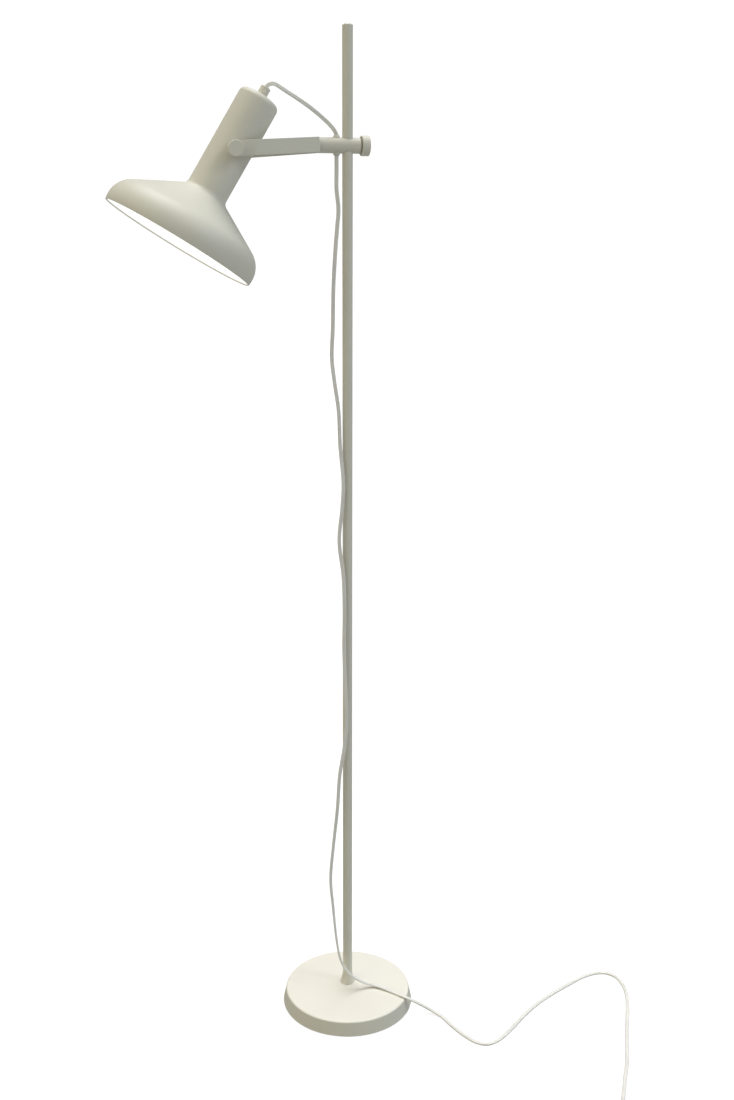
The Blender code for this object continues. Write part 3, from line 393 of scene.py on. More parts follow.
# %% Powder coat
def powder_coat(name, colour, shade, roughness, peel=0.035):
    """Satin powder coat: two near colours by a slow noise, gloss by another, and a fine orange peel."""
    coat = Finish(name, {"IOR": 1.5})
    slow = coat.noise(9.0, 4.0)
    grain = coat.noise(1400.0, 2.0)
    speck = coat.ramp(coat.noise(420.0, 5.0, 0.7), 0.66, 0.74)
    tone = coat.mixed(coat.ramp(slow, 0.3, 0.7), (*colour, 1), (*shade, 1))
    dusty = tuple(0.93 * value for value in shade)
    coat.link("Base Color", coat.mixed(speck * 0.35, tone, (*dusty, 1)))
    coat.link("Roughness", roughness + 0.10 * (coat.noise(28.0, 5.0) - 0.5) + 0.05 * (grain - 0.5))
    peel_height = coat.noise(760.0, 1.0, 0.4) + 0.35 * grain
    coat.bump(peel_height, peel * MM)
    return coat


PUTTY = (0.690, 0.672, 0.585)
# The putty's second, darker tone mixes in as a random mottle; on the base's side it also serves as painted
# shade.
PUTTY_MOTTLE_AND_PAINTED_SHADE = (0.664, 0.646, 0.560)
# The base's cream is the putty paint made lighter: painted light on the base's top, as if lit from above.
PAINTED_LIT_CREAM = (0.830, 0.802, 0.722)
PAINTED_LIT_CREAM_MOTTLE = (0.812, 0.784, 0.705)
# Heights where the painted shade on the base's side runs into the painted light on its top.
PAINTED_SHADE_BAND = (22.6 * MM, 24.8 * MM)
powder_coat("putty_coat", PUTTY, PUTTY_MOTTLE_AND_PAINTED_SHADE, 0.50)


def painted_light_base_coat():
    """Painted light on the base: its top a lighter cream as if lit from above, running into the putty's
    darker tone as painted shade over the last millimetres of its edge.
    """
    coat = powder_coat("cream_coat", PAINTED_LIT_CREAM, PAINTED_LIT_CREAM_MOTTLE, 0.50)
    parts = add_node(coat.tree, "ShaderNodeSeparateXYZ", {}, {0: coat.place})
    height = Signal(coat.tree, parts.outputs["Z"])
    top = coat.shader.inputs["Base Color"].links[0].from_socket
    # Below the band the side gets painted shade, above it the top keeps its painted-lit cream.
    coat.link("Base Color", coat.mixed(coat.ramp(height, *PAINTED_SHADE_BAND), (*PUTTY_MOTTLE_AND_PAINTED_SHADE, 1), top))


painted_light_base_coat()
print("powder coats made:", len(FINISHES))

# %% [markdown]
# The shade is one spun shell with two finishes. The mask that says which side is which is stored on the mesh,
# so the white enamel stays inside the rim wherever the shade is turned. The enamel is also given a faint
# painted glow, though the shell is no lamp.


# %% Shade finish
def shade_coat():
    """Putty coat outside and white enamel with a painted glow inside, chosen by the mesh's own inside value.
    """
    coat = powder_coat("shade_coat", PUTTY, PUTTY_MOTTLE_AND_PAINTED_SHADE, 0.50)
    inside = add_node(coat.tree, "ShaderNodeAttribute", {"attribute_name": "inside"}).outputs["Fac"]
    mask = coat.ramp(Signal(coat.tree, inside), 0.90, 0.97)
    outer = coat.shader.inputs["Base Color"].links[0].from_socket
    enamel = coat.mixed(coat.noise(14.0), (0.93, 0.93, 0.92, 1), (0.90, 0.90, 0.89, 1))
    coat.link("Base Color", coat.mixed(mask, outer, enamel))
    # Painted glow: the white enamel inside emits light, though the shell is no lamp.
    coat.link("Emission Color", coat.mixed(mask, (0, 0, 0, 1), (1.0, 1.0, 0.99, 1)))
    coat.shader.inputs["Emission Strength"].default_value = 0.45


shade_coat()

# %% [markdown]
# The lead's sheath is soft plastic with a slight sheen. It picks up handling marks along its length.


# %% Plastics, rubber and glass
def moulded_plastic(name, colour, roughness, sparkle=0.02, grime=0.9):
    """Moulded plastic: a fine spark-eroded grain, a slow tone change and slightly dull patches."""
    plastic = Finish(name, {"IOR": 1.46})
    tone = plastic.ramp(plastic.noise(22.0, 4.0), 0.35, 0.75)
    dull = tuple(grime * value for value in colour)
    plastic.link("Base Color", plastic.mixed(tone * 0.5, (*colour, 1), (*dull, 1)))
    grain = plastic.noise(2600.0, 2.0)
    plastic.link("Roughness", roughness + 0.12 * (plastic.noise(60.0, 3.0) - 0.5))
    plastic.bump(grain, sparkle * MM)
    return plastic


moulded_plastic("cable_sheath", (0.80, 0.79, 0.75), 0.40, 0.012, 0.90)
moulded_plastic("white_moulding", (0.83, 0.83, 0.80), 0.36)
moulded_plastic("nylon", (0.66, 0.65, 0.58), 0.50)
moulded_plastic("black_rubber", (0.028, 0.028, 0.030), 0.72, 0.05, 0.7)
moulded_plastic("bulb_opal", (0.88, 0.88, 0.86), 0.22, 0.004, 0.97)

# %% [markdown]
# Small metal pieces are turned or plated. Their grain is drawn out along one direction, which
# stretching the coordinates does, and it shows mostly in the gloss.


# %% Metals
def plated_metal(name, colour, roughness, streak=(60.0, 60.0, 1600.0), metallic=1.0):
    """Metal with drawn streaks in its gloss and a slow tarnish in its colour."""
    metal = Finish(name, {"Metallic": metallic})
    lines = metal.noise(1.0, 4.0, 0.6, metal.stretched(streak))
    tarnish = metal.ramp(metal.noise(35.0, 4.0), 0.45, 0.8)
    dark = tuple(0.72 * value for value in colour)
    metal.link("Base Color", metal.mixed(tarnish * 0.5, (*colour, 1), (*dark, 1)))
    metal.link("Roughness", roughness + 0.105 * (lines - 0.5) + 0.15 * tarnish)
    return metal, lines


for name, colour, roughness in (("zinc_plate", (0.60, 0.61, 0.62), 0.32),
                                ("turned_brass", (0.72, 0.53, 0.24), 0.28)):
    metal, lines = plated_metal(name, colour, roughness)
    metal.bump(lines, 0.01 * MM)
iron, _ = plated_metal("cast_iron", (0.10, 0.10, 0.10), 0.68, (180.0, 180.0, 180.0), 0.4)
iron.bump(iron.noise(320.0, 6.0, 0.7), 0.4 * MM)
print("finishes:", ", ".join(FINISHES))

# %% [markdown]
# ## The lead
# A two-core flat lead leaves the gland on top of the head, dips into the arm, hangs loosely beside the pole,
# crosses the base and wanders over the floor to a foot switch. What is left over is coiled and tied. Its path
# is one smooth curve through given points, so it never looks like bent wire.

# %% Lead routes
LEAD_WIDTH = 6.2 * MM
CORE_RADIUS = 1.85 * MM
CORE_OFFSET = LEAD_WIDTH / 2 - CORE_RADIUS
LEAD_BORE = 3.35 * MM
REST_HEIGHT = 3.2 * MM
UPPER_LEAD = ((-0.0890, 1.5268), (-0.0720, 1.5170), (-0.0548, 1.5058), (-0.0373, 1.4925),
              (-0.0275, 1.4840), (-0.0208, 1.4765), (-0.0173, 1.4700))
DROP = ((-0.0171, 0.0, 1.4540), (-0.0172, -0.0003, 1.4200), (-0.0175, -0.0010, 1.3920),
        (-0.0146, -0.0013, 1.3620), (-0.0168, -0.0016, 1.3350), (-0.0190, -0.0018, 1.3100),
        (-0.0228, -0.0022, 1.2500), (-0.0243, -0.0028, 1.1850), (-0.0260, -0.0026, 1.1380),
        (-0.0222, -0.0036, 1.1020), (-0.0160, -0.0055, 1.0550), (-0.0140, -0.0070, 1.0000),
        (-0.0098, -0.0104, 0.9400), (-0.0115, -0.0098, 0.9000), (-0.0160, -0.0083, 0.8450),
        (-0.0098, -0.0108, 0.7850), (-0.0084, -0.0119, 0.7250), (-0.0092, -0.0124, 0.6700),
        (-0.0078, -0.0136, 0.6000), (-0.0058, -0.0150, 0.5350), (-0.0090, -0.0138, 0.4900),
        (-0.0165, -0.0112, 0.4380), (-0.0205, -0.0100, 0.3750), (-0.0275, -0.0086, 0.3050),
        (-0.0325, -0.0090, 0.2440), (-0.0290, -0.0120, 0.1900), (-0.0236, -0.0165, 0.1250),
        (-0.0176, -0.0205, 0.0900), (-0.0068, -0.0230, 0.0690), (0.0035, -0.0250, 0.0570),
        (0.0190, -0.0268, 0.0460), (0.0350, -0.0266, 0.0385))
BASE_RUN = ((0.0500, -0.0320, 0.0352), (0.0720, -0.0500, 0.0306), (0.0920, -0.0690, 0.0280),
            (0.1105, -0.0770, 0.0190), (0.1290, -0.0840, 0.0085), (0.1425, -0.0990, 0.0042))
FLOOR_RUN = ((0.1520, -0.1290), (0.1633, -0.1590), (0.1767, -0.1820), (0.1920, -0.1915),
             (0.2133, -0.1870), (0.2445, -0.1659), (0.2834, -0.1340), (0.3210, -0.1073),
             (0.3595, -0.0865), (0.3972, -0.0690), (0.4340, -0.0535), (0.4591, -0.0488),
             (0.4785, -0.0525), (0.4912, -0.0665), (0.4934, -0.0908), (0.4861, -0.1229),
             (0.4708, -0.1566), (0.4453, -0.2039), (0.4158, -0.2609), (0.3975, -0.2964),
             (0.3772, -0.3299), (0.3479, -0.3792))
SWIVEL_END = 1.300


def lengths(line):
    """Distance along a line at each of its points."""
    return np.concatenate([[0.0], np.cumsum(np.linalg.norm(np.diff(line, axis=0), axis=1))])


def even(line, step):
    """The line again, with points about step apart."""
    along = lengths(line)
    places = np.linspace(0, along[-1], int(round(along[-1] / step)) + 1)
    return np.stack([np.interp(places, along, line[:, axis]) for axis in range(3)], axis=1)


def smooth_line(points, step):
    """Points about step apart on the centripetal Catmull-Rom curve through a route."""
    knots = np.array(points, float)
    knots = np.vstack([2 * knots[0] - knots[1], knots, 2 * knots[-1] - knots[-2]])
    p0, p1, p2, p3 = (knots[first:len(knots) - 3 + first, None] for first in range(4))
    t1 = np.linalg.norm(p1 - p0, axis=2, keepdims=True) ** 0.5
    t2 = t1 + np.linalg.norm(p2 - p1, axis=2, keepdims=True) ** 0.5
    t3 = t2 + np.linalg.norm(p3 - p2, axis=2, keepdims=True) ** 0.5
    t = t1 + (t2 - t1) * np.linspace(0, 1, 24, endpoint=False)[None, :, None]
    a1 = ((t1 - t) * p0 + t * p1) / t1
    a2 = ((t2 - t) * p1 + (t - t1) * p2) / (t2 - t1)
    a3 = ((t3 - t) * p2 + (t - t2) * p3) / (t3 - t2)
    b1 = ((t2 - t) * a1 + t * a2) / t2
    b2 = ((t3 - t) * a2 + (t - t1) * a3) / (t3 - t1)
    line = ((t2 - t) * b1 + (t - t1) * b2) / (t2 - t1)
    return even(np.vstack([line.reshape(-1, 3), knots[-2]]), step)


def eased(share):
    """Smooth step from 0 to 1."""
    share = np.clip(share, 0, 1)
    return share * share * (3 - 2 * share)


# %% [markdown]
# The flat lead is two round cores side by side in one sheath. Its outline is therefore two circles
# run together, with a shallow valley on each broad side. Carried along the path with a slow twist,
# it shows its broad side here and its narrow side there, as a hanging lead does.


# %% Carrying the lead's outline along a path
def twin_section(count=20):
    """Radius c|cos a| + sqrt(R^2 - c^2 sin^2 a): the outer hull of two circles at plus and minus c."""
    angle = np.linspace(0, 2 * math.pi, count, endpoint=False)
    reach = CORE_OFFSET * np.abs(np.cos(angle))
    reach = reach + np.sqrt(CORE_RADIUS ** 2 - (CORE_OFFSET * np.sin(angle)) ** 2)
    return np.stack([reach * np.cos(angle), reach * np.sin(angle)], axis=1)


def swept_mesh(name, path, wide, section):
    """Section carried along a path: path + x w + y (t x w), w the broad direction and t the tangent."""
    tangent = unit(np.gradient(path, axis=0))
    wide = unit(wide - (wide * tangent).sum(axis=1, keepdims=True) * tangent)
    thin = np.cross(tangent, wide)
    rings = path[:, None] + section[None, :, :1] * wide[:, None] + section[None, :, 1:] * thin[:, None]
    ends = [np.repeat(path[[end], None], len(section), axis=1) for end in (0, -1)]
    rings = np.concatenate([ends[0], rings, ends[1]])
    return welded_mesh(name, rings.reshape(-1, 3), grid_faces(len(rings), len(section)), 60.0)


def lead_piece(name, path, wide, stands_for):
    """One stretch of the lead, standing for its nodes in the model."""
    mesh = swept_mesh(name, path, wide, twin_section())
    print(f"{name}: {lengths(path)[-1]:.3f} m long")
    return add_piece(name, mesh, "cable_sheath", None, *stands_for)


# %% Upper lead, from the head to the arm
_, GLAND_RADIUS, GLAND_SEAT, GLAND_TOP = measured("cord_gland", HEAD)
LEAD_BEND = 11.0 * MM
LEAD_FALL = math.radians(31.0)
head_axis = HEAD[:3, 2]
head_side = np.array([head_axis[2], 0, -head_axis[0]])
gland_mouth = PIVOT + head_axis * (GLAND_TOP + 0.7 * MM)
bend_centre = gland_mouth + head_side * LEAD_BEND
bend_angle = np.linspace(math.atan2(-head_side[2], -head_side[0]), math.pi / 2 - LEAD_FALL, 7)
bend = bend_centre + LEAD_BEND * np.stack([np.cos(bend_angle), 0 * bend_angle, np.sin(bend_angle)], axis=1)
inside_gland = [gland_mouth - head_axis * depth for depth in (24 * MM, 12 * MM)]
slope = [(x, 0.0, z) for x, z in UPPER_LEAD]
into_arm = [(DROP[0][0], 0.0, AXIS_HEIGHT + height) for height in (5 * MM, 0.1 * MM)]
upper_path = smooth_line([*inside_gland, *bend, *slope, *into_arm], 1.6 * MM)
upper_wide = np.cross(unit(np.gradient(upper_path, axis=0)), (0.0, 1.0, 0.0))
upper_wide = upper_wide + np.array([0.0, 0.35, 0.0]) * np.sin(lengths(upper_path) * 30)[:, None]
upper_lead = lead_piece("lead_upper", upper_path, upper_wide, ("cord_upper",))
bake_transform(upper_lead)

# %% [markdown]
# The long stretch from the arm to the foot switch is worked out as one line and then parted at the
# place where the arm's swivel has died away, so that both parts meet ring to ring.

# %% The drop beside the pole and the run over the floor
FLOOR_HEADING = math.atan2(-0.860, -0.511)
SWITCH_APPROACH = 38.0 * MM
LEAD_ENTRY = 7.5 * MM
BASE_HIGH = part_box("base_cover")[1][2]


def heading_vector(angle):
    """Unit vector on the floor for a heading."""
    return np.array([math.cos(angle), math.sin(angle), 0.0])


ahead = heading_vector(FLOOR_HEADING)
floor_points = np.array([(x, y, REST_HEIGHT) for x, y in FLOOR_RUN])
switch_start = floor_points[-1] * (1, 1, 0) + ahead * SWITCH_APPROACH
entry = switch_start + (0, 0, LEAD_ENTRY)
into_switch = [entry - ahead * 10 * MM, entry + ahead * 4 * MM]
long_path = smooth_line([*DROP, *BASE_RUN, *floor_points, *into_switch], 3.2 * MM)
to_switch = lengths(long_path)[-1] - lengths(long_path)
flat_drop = REST_HEIGHT - CORE_RADIUS - 0.05 * MM
lying = eased((BASE_HIGH + 18 * MM - long_path[:, 2]) / (14 * MM))
lying = lying * eased((to_switch - 20 * MM) / (40 * MM))
long_path[:, 2] = np.maximum(long_path[:, 2], REST_HEIGHT) - flat_drop * lying
turn_height = (0.10, 0.25, 0.45, 0.70, 0.95, 1.20, 1.45)
turn_angle = np.radians((80.0, 35.0, 5.0, -25.0, 20.0, -12.0, -15.0))
broad_angle = np.interp(long_path[:, 2], turn_height, turn_angle)
broad_hanging = np.stack([np.cos(broad_angle), np.sin(broad_angle), 0 * broad_angle], axis=1)
floor_side = np.cross((0.0, 0.0, 1.0), unit(np.gradient(long_path, axis=0)))
on_floor = eased((0.10 - long_path[:, 2]) / 0.045)[:, None]
long_wide = broad_hanging * (1 - on_floor) + floor_side * on_floor
parting = int(np.argmax(long_path[:, 2] < SWIVEL_END))

swivel_lead = lead_piece("lead_swivel", long_path[:parting + 1], long_wide[:parting + 1], ("cord_swivel",))
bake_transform(swivel_lead)
long_lead = lead_piece("lead_drop", long_path[parting:], long_wide[parting:], ("cord_drop",))
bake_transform(long_lead)

# %% [markdown]
# The spare length is wound by a rule: five turns on two lanes and three layers, and each change of
# lane or layer is spread over the last part of its turn.

# %% Coil and tail
SWITCH_LENGTH = 58.0 * MM
RELIEF_LENGTH = 22.0 * MM
AFTER_SWITCH = 14.0 * MM
COIL_BEND = 30.0 * MM
COIL_BEND_ANGLE = math.radians(75.0)
COIL_APPROACH = 30.0 * MM
COIL_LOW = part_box("cord_coil")[0][2]
LANES = np.array([37.0, 32.6, 32.6, 37.0, 37.0, 37.0]) * MM
LAYERS = COIL_LOW + 3.1 * MM + np.array([0, 0, 1, 1, 2, 2]) * 6.2 * MM

leave = switch_start + ahead * (2 * RELIEF_LENGTH + SWITCH_LENGTH)
bend_start = leave + ahead * AFTER_SWITCH
bend_middle = bend_start + heading_vector(FLOOR_HEADING - math.pi / 2) * COIL_BEND
bend_headings = FLOOR_HEADING - COIL_BEND_ANGLE * np.linspace(0, 1, 5)
bend_points = [bend_middle + heading_vector(angle + math.pi / 2) * COIL_BEND for angle in bend_headings]
coil_heading = bend_headings[-1]
away = heading_vector(coil_heading)
tangent_point = bend_points[-1] + away * COIL_APPROACH
coil_centre = tangent_point + heading_vector(coil_heading - math.pi / 2) * LANES[0]
turn = np.linspace(0, 5, 5 * 72 + 1)
change = eased((turn % 1 - 0.72) / 0.28)
now = np.minimum(turn.astype(int), 4)
lane = LANES[now] + (LANES[now + 1] - LANES[now]) * np.where(turn < 5, change, 1)
layer = LAYERS[now] + (LAYERS[now + 1] - LAYERS[now]) * np.where(turn < 5, change, 1)
angle = coil_heading + math.pi / 2 - 2 * math.pi * turn
coil_path = coil_centre + np.stack([lane * np.cos(angle), lane * np.sin(angle), layer], axis=1)
leaving = [leave + (0, 0, LEAD_ENTRY) + ahead * reach * MM for reach in (-4, 4)]
on_bend = [point + (0, 0, REST_HEIGHT) for point in bend_points]
into_coil = [coil_path[0] - away * 10 * MM, coil_path[0]]
lead_in = smooth_line(leaving + on_bend + into_coil, 3.0 * MM)
PLUG_LOW, PLUG_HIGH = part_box("plug_body")
PLUG_CENTRE = (PLUG_LOW[2] + PLUG_HIGH[2]) / 2
CLEAR_OF_COIL = 22.5 * MM
TAIL_LENGTH = 52.0 * MM
tail_end = tangent_point + away * (CLEAR_OF_COIL + TAIL_LENGTH) + (0, 0, PLUG_CENTRE)
TAIL_FALL = np.array([(0, 0), (14, 0.6), (28, 2.6), (44, 7.0)]) * MM
tail = [coil_path[-1] + away * reach - (0, 0, fall) for reach, fall in TAIL_FALL]
tail += [tail_end - away * 13 * MM, tail_end]
tail_path = smooth_line(tail, 3.0 * MM)
coil_lead_path = even(np.vstack([lead_in[:-1], coil_path, tail_path[1:]]), 3.2 * MM)
upright = np.tile((0.0, 0.0, 1.0), (len(coil_lead_path), 1))
coil_lead = lead_piece("lead_coil", coil_lead_path, upright, ("cord_link", "cord_coil", "cord_tail"))
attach(coil_lead, "stand")

# %% [markdown]
# ## Base
# The base is a spun steel cover over an iron weight, with a rubber disc underneath. Its side leans
# out a little towards the floor, and its top edge is a small round that catches the light.

# %% Base
BASE_TOP_RADIUS = 108.6 * MM
BASE_RISE = 9.0 * MM
BASE_LAND = 16.0 * MM
SHEET = 1.5 * MM
hole, foot, low, high = measured("base_cover", STAND)
edge = high - BASE_RISE
cover_corners = [(hole, high), (BASE_LAND, high), (BASE_TOP_RADIUS, edge), (foot, low), (foot - SHEET, low),
                 (BASE_TOP_RADIUS - SHEET, edge - SHEET), (BASE_LAND, high - SHEET), (hole, high - SHEET)]
cover_radii = np.array([0.3, 3.0, 3.2, 0.5, 0.4, 1.7, 3.0, 0.3]) * MM
cover = turned_mesh("base_cover_shell", rounded(cover_corners, cover_radii, 8), STAND, 192)
add_piece("base_cover_shell", cover, "cream_coat", "stand", "base_cover")
_, pad_radius, pad_low, pad_high = measured("base_pad", STAND)
pad_rings = [(pad_radius * share, pad_low) for share in (0.2, 0.5, 0.8)]
pad_edge = [(pad_radius, pad_high), (pad_radius, pad_low)]
pad_outline = np.vstack([[(0, pad_high)], pad_edge, pad_rings[::-1], [(0, pad_low)]])
pad = turned_mesh("base_pad_disc", pad_outline, STAND, 128, closed=False)
add_piece("base_pad_disc", pad, "black_rubber", "stand", "base_pad")

# %% [markdown]
# ## Pole
# The pole is one tube with a plug in its top end. A small flared collar covers the hole where it
# stands in the base.

# %% Pole, collar and end plug
bore, radius, low, high = measured("pole", STAND)
pole_outline = rounded([(radius, high), (radius, low), (bore, low), (bore, high)], 0.35 * MM, 3)
pole = turned_mesh("pole_tube", pole_outline, STAND, 72)
add_piece("pole_tube", pole, "putty_coat", "stand", "pole")
bore, reach, low, high = measured("pole_collar", STAND)
rise = np.linspace(1, 0, 12)
FLARE_TIP = 0.5 * MM
spread = bore + FLARE_TIP + (reach - bore - FLARE_TIP) * (1 - rise) ** 1.7
flare = np.stack([spread, low + (high - low) * rise], axis=1)
flare[-1, 1] = low + FLARE_TIP
collar_outline = np.vstack([[(bore, high)], flare, [(reach, low), (bore, low)]])
collar = turned_mesh("pole_collar_ring", collar_outline, STAND, 72, sharp=50)
add_piece("pole_collar_ring", collar, "putty_coat", "stand", "pole_collar")
_, reach, low, high = measured("pole_cap", STAND)
shoulder = measured("pole", STAND)[3]
quarter = np.linspace(math.pi / 2, 0, 10)
dome = np.stack([6.3 * MM * np.cos(quarter), shoulder + (high - shoulder) * np.sin(quarter)], axis=1)
dome[0, 0] = 0.0
plug = np.vstack([dome, [(reach, shoulder - 0.1 * MM), (reach, low), (0, low)]])
end_plug = turned_mesh("pole_end_plug", plug, STAND, 48, closed=False)
add_piece("pole_end_plug", end_plug, "white_moulding", "stand", "pole_cap")

# %% [markdown]
# ## Clamp arm
# The barrel is turned from bar and bored across for the pole and for the lead. The bores are cut
# with Booleans, because the edge where two cylinders meet is not a ring that a turned outline has.

# %% Barrel and grommets
_, BARREL_RADIUS, BARREL_LEFT, BARREL_RIGHT = measured("arm_barrel", ARM)
SPIGOT_RADIUS = 6.0 * MM
SPIGOT_START = -50.0 * MM
POLE_CLEARANCE = 8.3 * MM
LEAD_HOLE_RADIUS = 4.6 * MM
LEAD_HOLE_X = DROP[0][0]
SLEEVE_POCKET_RADIUS = 9.2 * MM
SLEEVE_POCKET_HALF = 6.5 * MM
SCREW_BORE = 4.3 * MM
barrel_corners = [(0, BARREL_RIGHT), (BARREL_RADIUS, BARREL_RIGHT), (BARREL_RADIUS, SPIGOT_START),
                  (SPIGOT_RADIUS, SPIGOT_START), (SPIGOT_RADIUS, BARREL_LEFT), (0, BARREL_LEFT)]
barrel_radii = np.array([0, 0.7, 0.5, 0, 0.5, 0]) * MM
barrel = turned_mesh("barrel", rounded(barrel_corners, barrel_radii, 4, closed=False), ARM, 96, closed=False)
upright_axis = placement((0, 0, AXIS_HEIGHT), (0, 0, 1))
lead_axis = placement((LEAD_HOLE_X, 0, AXIS_HEIGHT), (0, 0, 1))
tools = [rod_mesh(POLE_CLEARANCE, -20 * MM, 20 * MM, upright_axis),
         rod_mesh(LEAD_HOLE_RADIUS, -20 * MM, 20 * MM, lead_axis, 48),
         rod_mesh(SLEEVE_POCKET_RADIUS, -SLEEVE_POCKET_HALF, SLEEVE_POCKET_HALF, upright_axis),
         rod_mesh(SCREW_BORE, 7 * MM, 25 * MM, ARM, 32)]
add_piece("clamp_barrel", cut_mesh(barrel, tools), "putty_coat", "arm", "arm_barrel")


def grommet(name, side):
    """Conical grommet whose foot is a saddle on the barrel."""
    foot_radius, top, root = 5.5 * MM, 14.7 * MM, 7 * MM
    corners = [(LEAD_BORE, top), (4.1 * MM, top), (foot_radius, 11.9 * MM),
               (foot_radius, root), (LEAD_BORE, root)]
    place = placement((LEAD_HOLE_X, 0, AXIS_HEIGHT), (0, 0, side))
    mesh = turned_mesh(name, rounded(corners, np.array([0.25, 0.5, 0.8, 0, 0]) * MM), place, 48)
    return cut_mesh(mesh, [rod_mesh(BARREL_RADIUS + 0.05 * MM, -30 * MM, 30 * MM, ARM, 96)])


for end, side in (("top", 1), ("bottom", -1)):
    saddle = grommet(f"lead_grommet_{end}", side)
    add_piece(f"lead_grommet_{end}", saddle, "putty_coat", "arm", f"grommet_{end}")

# %% [markdown]
# The knob is a turned disc on a threaded rod. Turning it pushes a brass pad against the split
# sleeve, and the sleeve grips the pole.

# %% Clamp knob, screw and pad
_, KNOB_RADIUS, KNOB_BACK, KNOB_FRONT = measured("clamp_knob", ARM)
knob_floor = KNOB_FRONT - 4.1 * MM
knob_corners = [(0, KNOB_FRONT), (KNOB_RADIUS, KNOB_FRONT), (KNOB_RADIUS, KNOB_BACK),
                (SCREW_BORE, KNOB_BACK), (SCREW_BORE, knob_floor), (0, knob_floor)]
knob_outline = rounded(knob_corners, np.array([0, 1.1, 1.1, 0.3, 0, 0]) * MM, 5, closed=False)
knob = turned_mesh("clamp_knob_disc", knob_outline, ARM, 128, closed=False)
add_piece("clamp_knob_disc", knob, "putty_coat", "knob", "clamp_knob")
_, thread_radius, thread_low, thread_high = measured("clamp_screw", ARM)
PITCH = 1.25 * MM


def threaded_rod(name, radius, low, high, matrix, around=48):
    """Rod whose radius follows the pitch: r = R - depth times a sharp ripple of (z / pitch - angle)."""
    station = np.arange(low, high, PITCH / 8)
    angle = np.linspace(0, 2 * math.pi, around, endpoint=False)
    phase = (station[:, None] / PITCH - angle / (2 * math.pi)) % 1
    depth = 0.55 * MM * np.abs(2 * phase - 1)
    from_end = np.minimum(station - low, high - station)[:, None]
    reach = (radius - depth) * np.minimum(1, 0.72 + from_end / MM)
    points = np.stack([reach * np.cos(angle), reach * np.sin(angle), station[:, None] + 0 * angle], axis=-1)
    ends = [np.tile((0.0, 0.0, station[end]), (1, around, 1)) for end in (0, -1)]
    points = np.concatenate([ends[0], points, ends[1]])
    return welded_mesh(name, put(points.reshape(-1, 3), matrix), grid_faces(len(points), around), 60)


screw = threaded_rod("clamp_screw_thread", thread_radius, thread_low, thread_high, ARM)
add_piece("clamp_screw_thread", screw, "zinc_plate", "knob", "clamp_screw")

# %% [markdown]
# ## Fork
# Two flat bars run from the barrel to the head. Each is cut with a round end about the pivot and
# then bent inwards, so its surface is a stack of outlines that the bend is applied to.

# %% Fork bars
BAR_LENGTH = 131.8 * MM
BAR_HALF = 11.0 * MM
BAR_THICKNESS = 3.5 * MM
BAR_INNER = (34.6 * MM, 11.9 * MM)
BAR_BEND = 30.0 * MM
BEND_SOFTNESS = 2.0 * MM
END_CORNER = 0.6 * MM


def in_fork(along, across, height):
    """Points of the fork, along its bars from the pivot, in the lamp's own coordinates."""
    lengthwise = along * math.cos(FORK_DROOP) - height * math.sin(FORK_DROOP)
    upwards = along * math.sin(FORK_DROOP) + height * math.cos(FORK_DROOP)
    return (np.stack([lengthwise, across, upwards], axis=-1) + PIVOT).reshape(-1, 3)


def inner_face(along):
    """Distance of a bar's inner face from the middle: level, then falling, with a soft bend between."""
    slope = (BAR_INNER[0] - BAR_INNER[1]) / (BAR_LENGTH - BAR_BEND)
    return BAR_INNER[0] - slope * BEND_SOFTNESS * np.log1p(np.exp((along - BAR_BEND) / BEND_SOFTNESS))


def bar_outline():
    """Bar's side view as points, outward directions and spine: two straights, a round end, a square end."""
    corner_start = BAR_LENGTH - END_CORNER
    straight = np.concatenate([np.linspace(corner_start, 44 * MM, 10), np.linspace(40 * MM, 2 * MM, 20)])
    swing = np.linspace(math.pi / 2, 3 * math.pi / 2, 33)
    corner = np.linspace(-math.pi / 2, math.pi / 2, 9)
    upper = np.stack([straight, 0 * straight + BAR_HALF], axis=1)
    end_round = BAR_HALF * np.stack([np.cos(swing), np.sin(swing)], axis=1)
    corner_turn = np.stack([np.cos(corner), np.sin(corner)], axis=1)
    square = np.stack([0 * corner + corner_start, np.sign(corner) * (BAR_HALF - END_CORNER)], axis=1)
    square = square + END_CORNER * corner_turn
    outline = np.vstack([upper, end_round, upper[::-1] * (1, -1), square])
    up = np.tile((0.0, 1.0), (len(upper), 1))
    outward = np.vstack([up, end_round / BAR_HALF, -up, corner_turn])
    spine = np.stack([np.clip(outline[:, 0], 0, BAR_LENGTH - BAR_HALF), 0 * outline[:, 1]], axis=1)
    return outline, outward, spine


def fork_bar(name, side):
    """Bar of even thickness, bent, drilled for the pivot and put in the fork's frame."""
    points = stacked_points(*bar_outline(), slab_profile(0, BAR_THICKNESS, 0.35 * MM))
    along, height, depth = points[..., 0], points[..., 1], points[..., 2]
    placed = in_fork(along, side * (inner_face(along) + depth), height)
    mesh = welded_mesh(name, placed, grid_faces(*points.shape[:2]), 35)
    drill = rod_mesh(3.3 * MM, 20 * MM, 50 * MM, SIDES["near" if side < 0 else "far"], 48)
    return cut_mesh(mesh, [drill], sharp=35)


for name, side in (("near", -1), ("far", 1)):
    bar = fork_bar(f"fork_arm_{name}", side)
    add_piece(f"fork_arm_{name}", bar, "putty_coat", "arm", f"fork_bar_{name}")

# %% [markdown]
# Between the bars a wedge block takes the barrel's end. Two pins pass through it into the bars.

# %% Fork block
BLOCK_START = 93.0 * MM
BLOCK_END = 127.5 * MM
BLOCK_HALF = 10.0 * MM


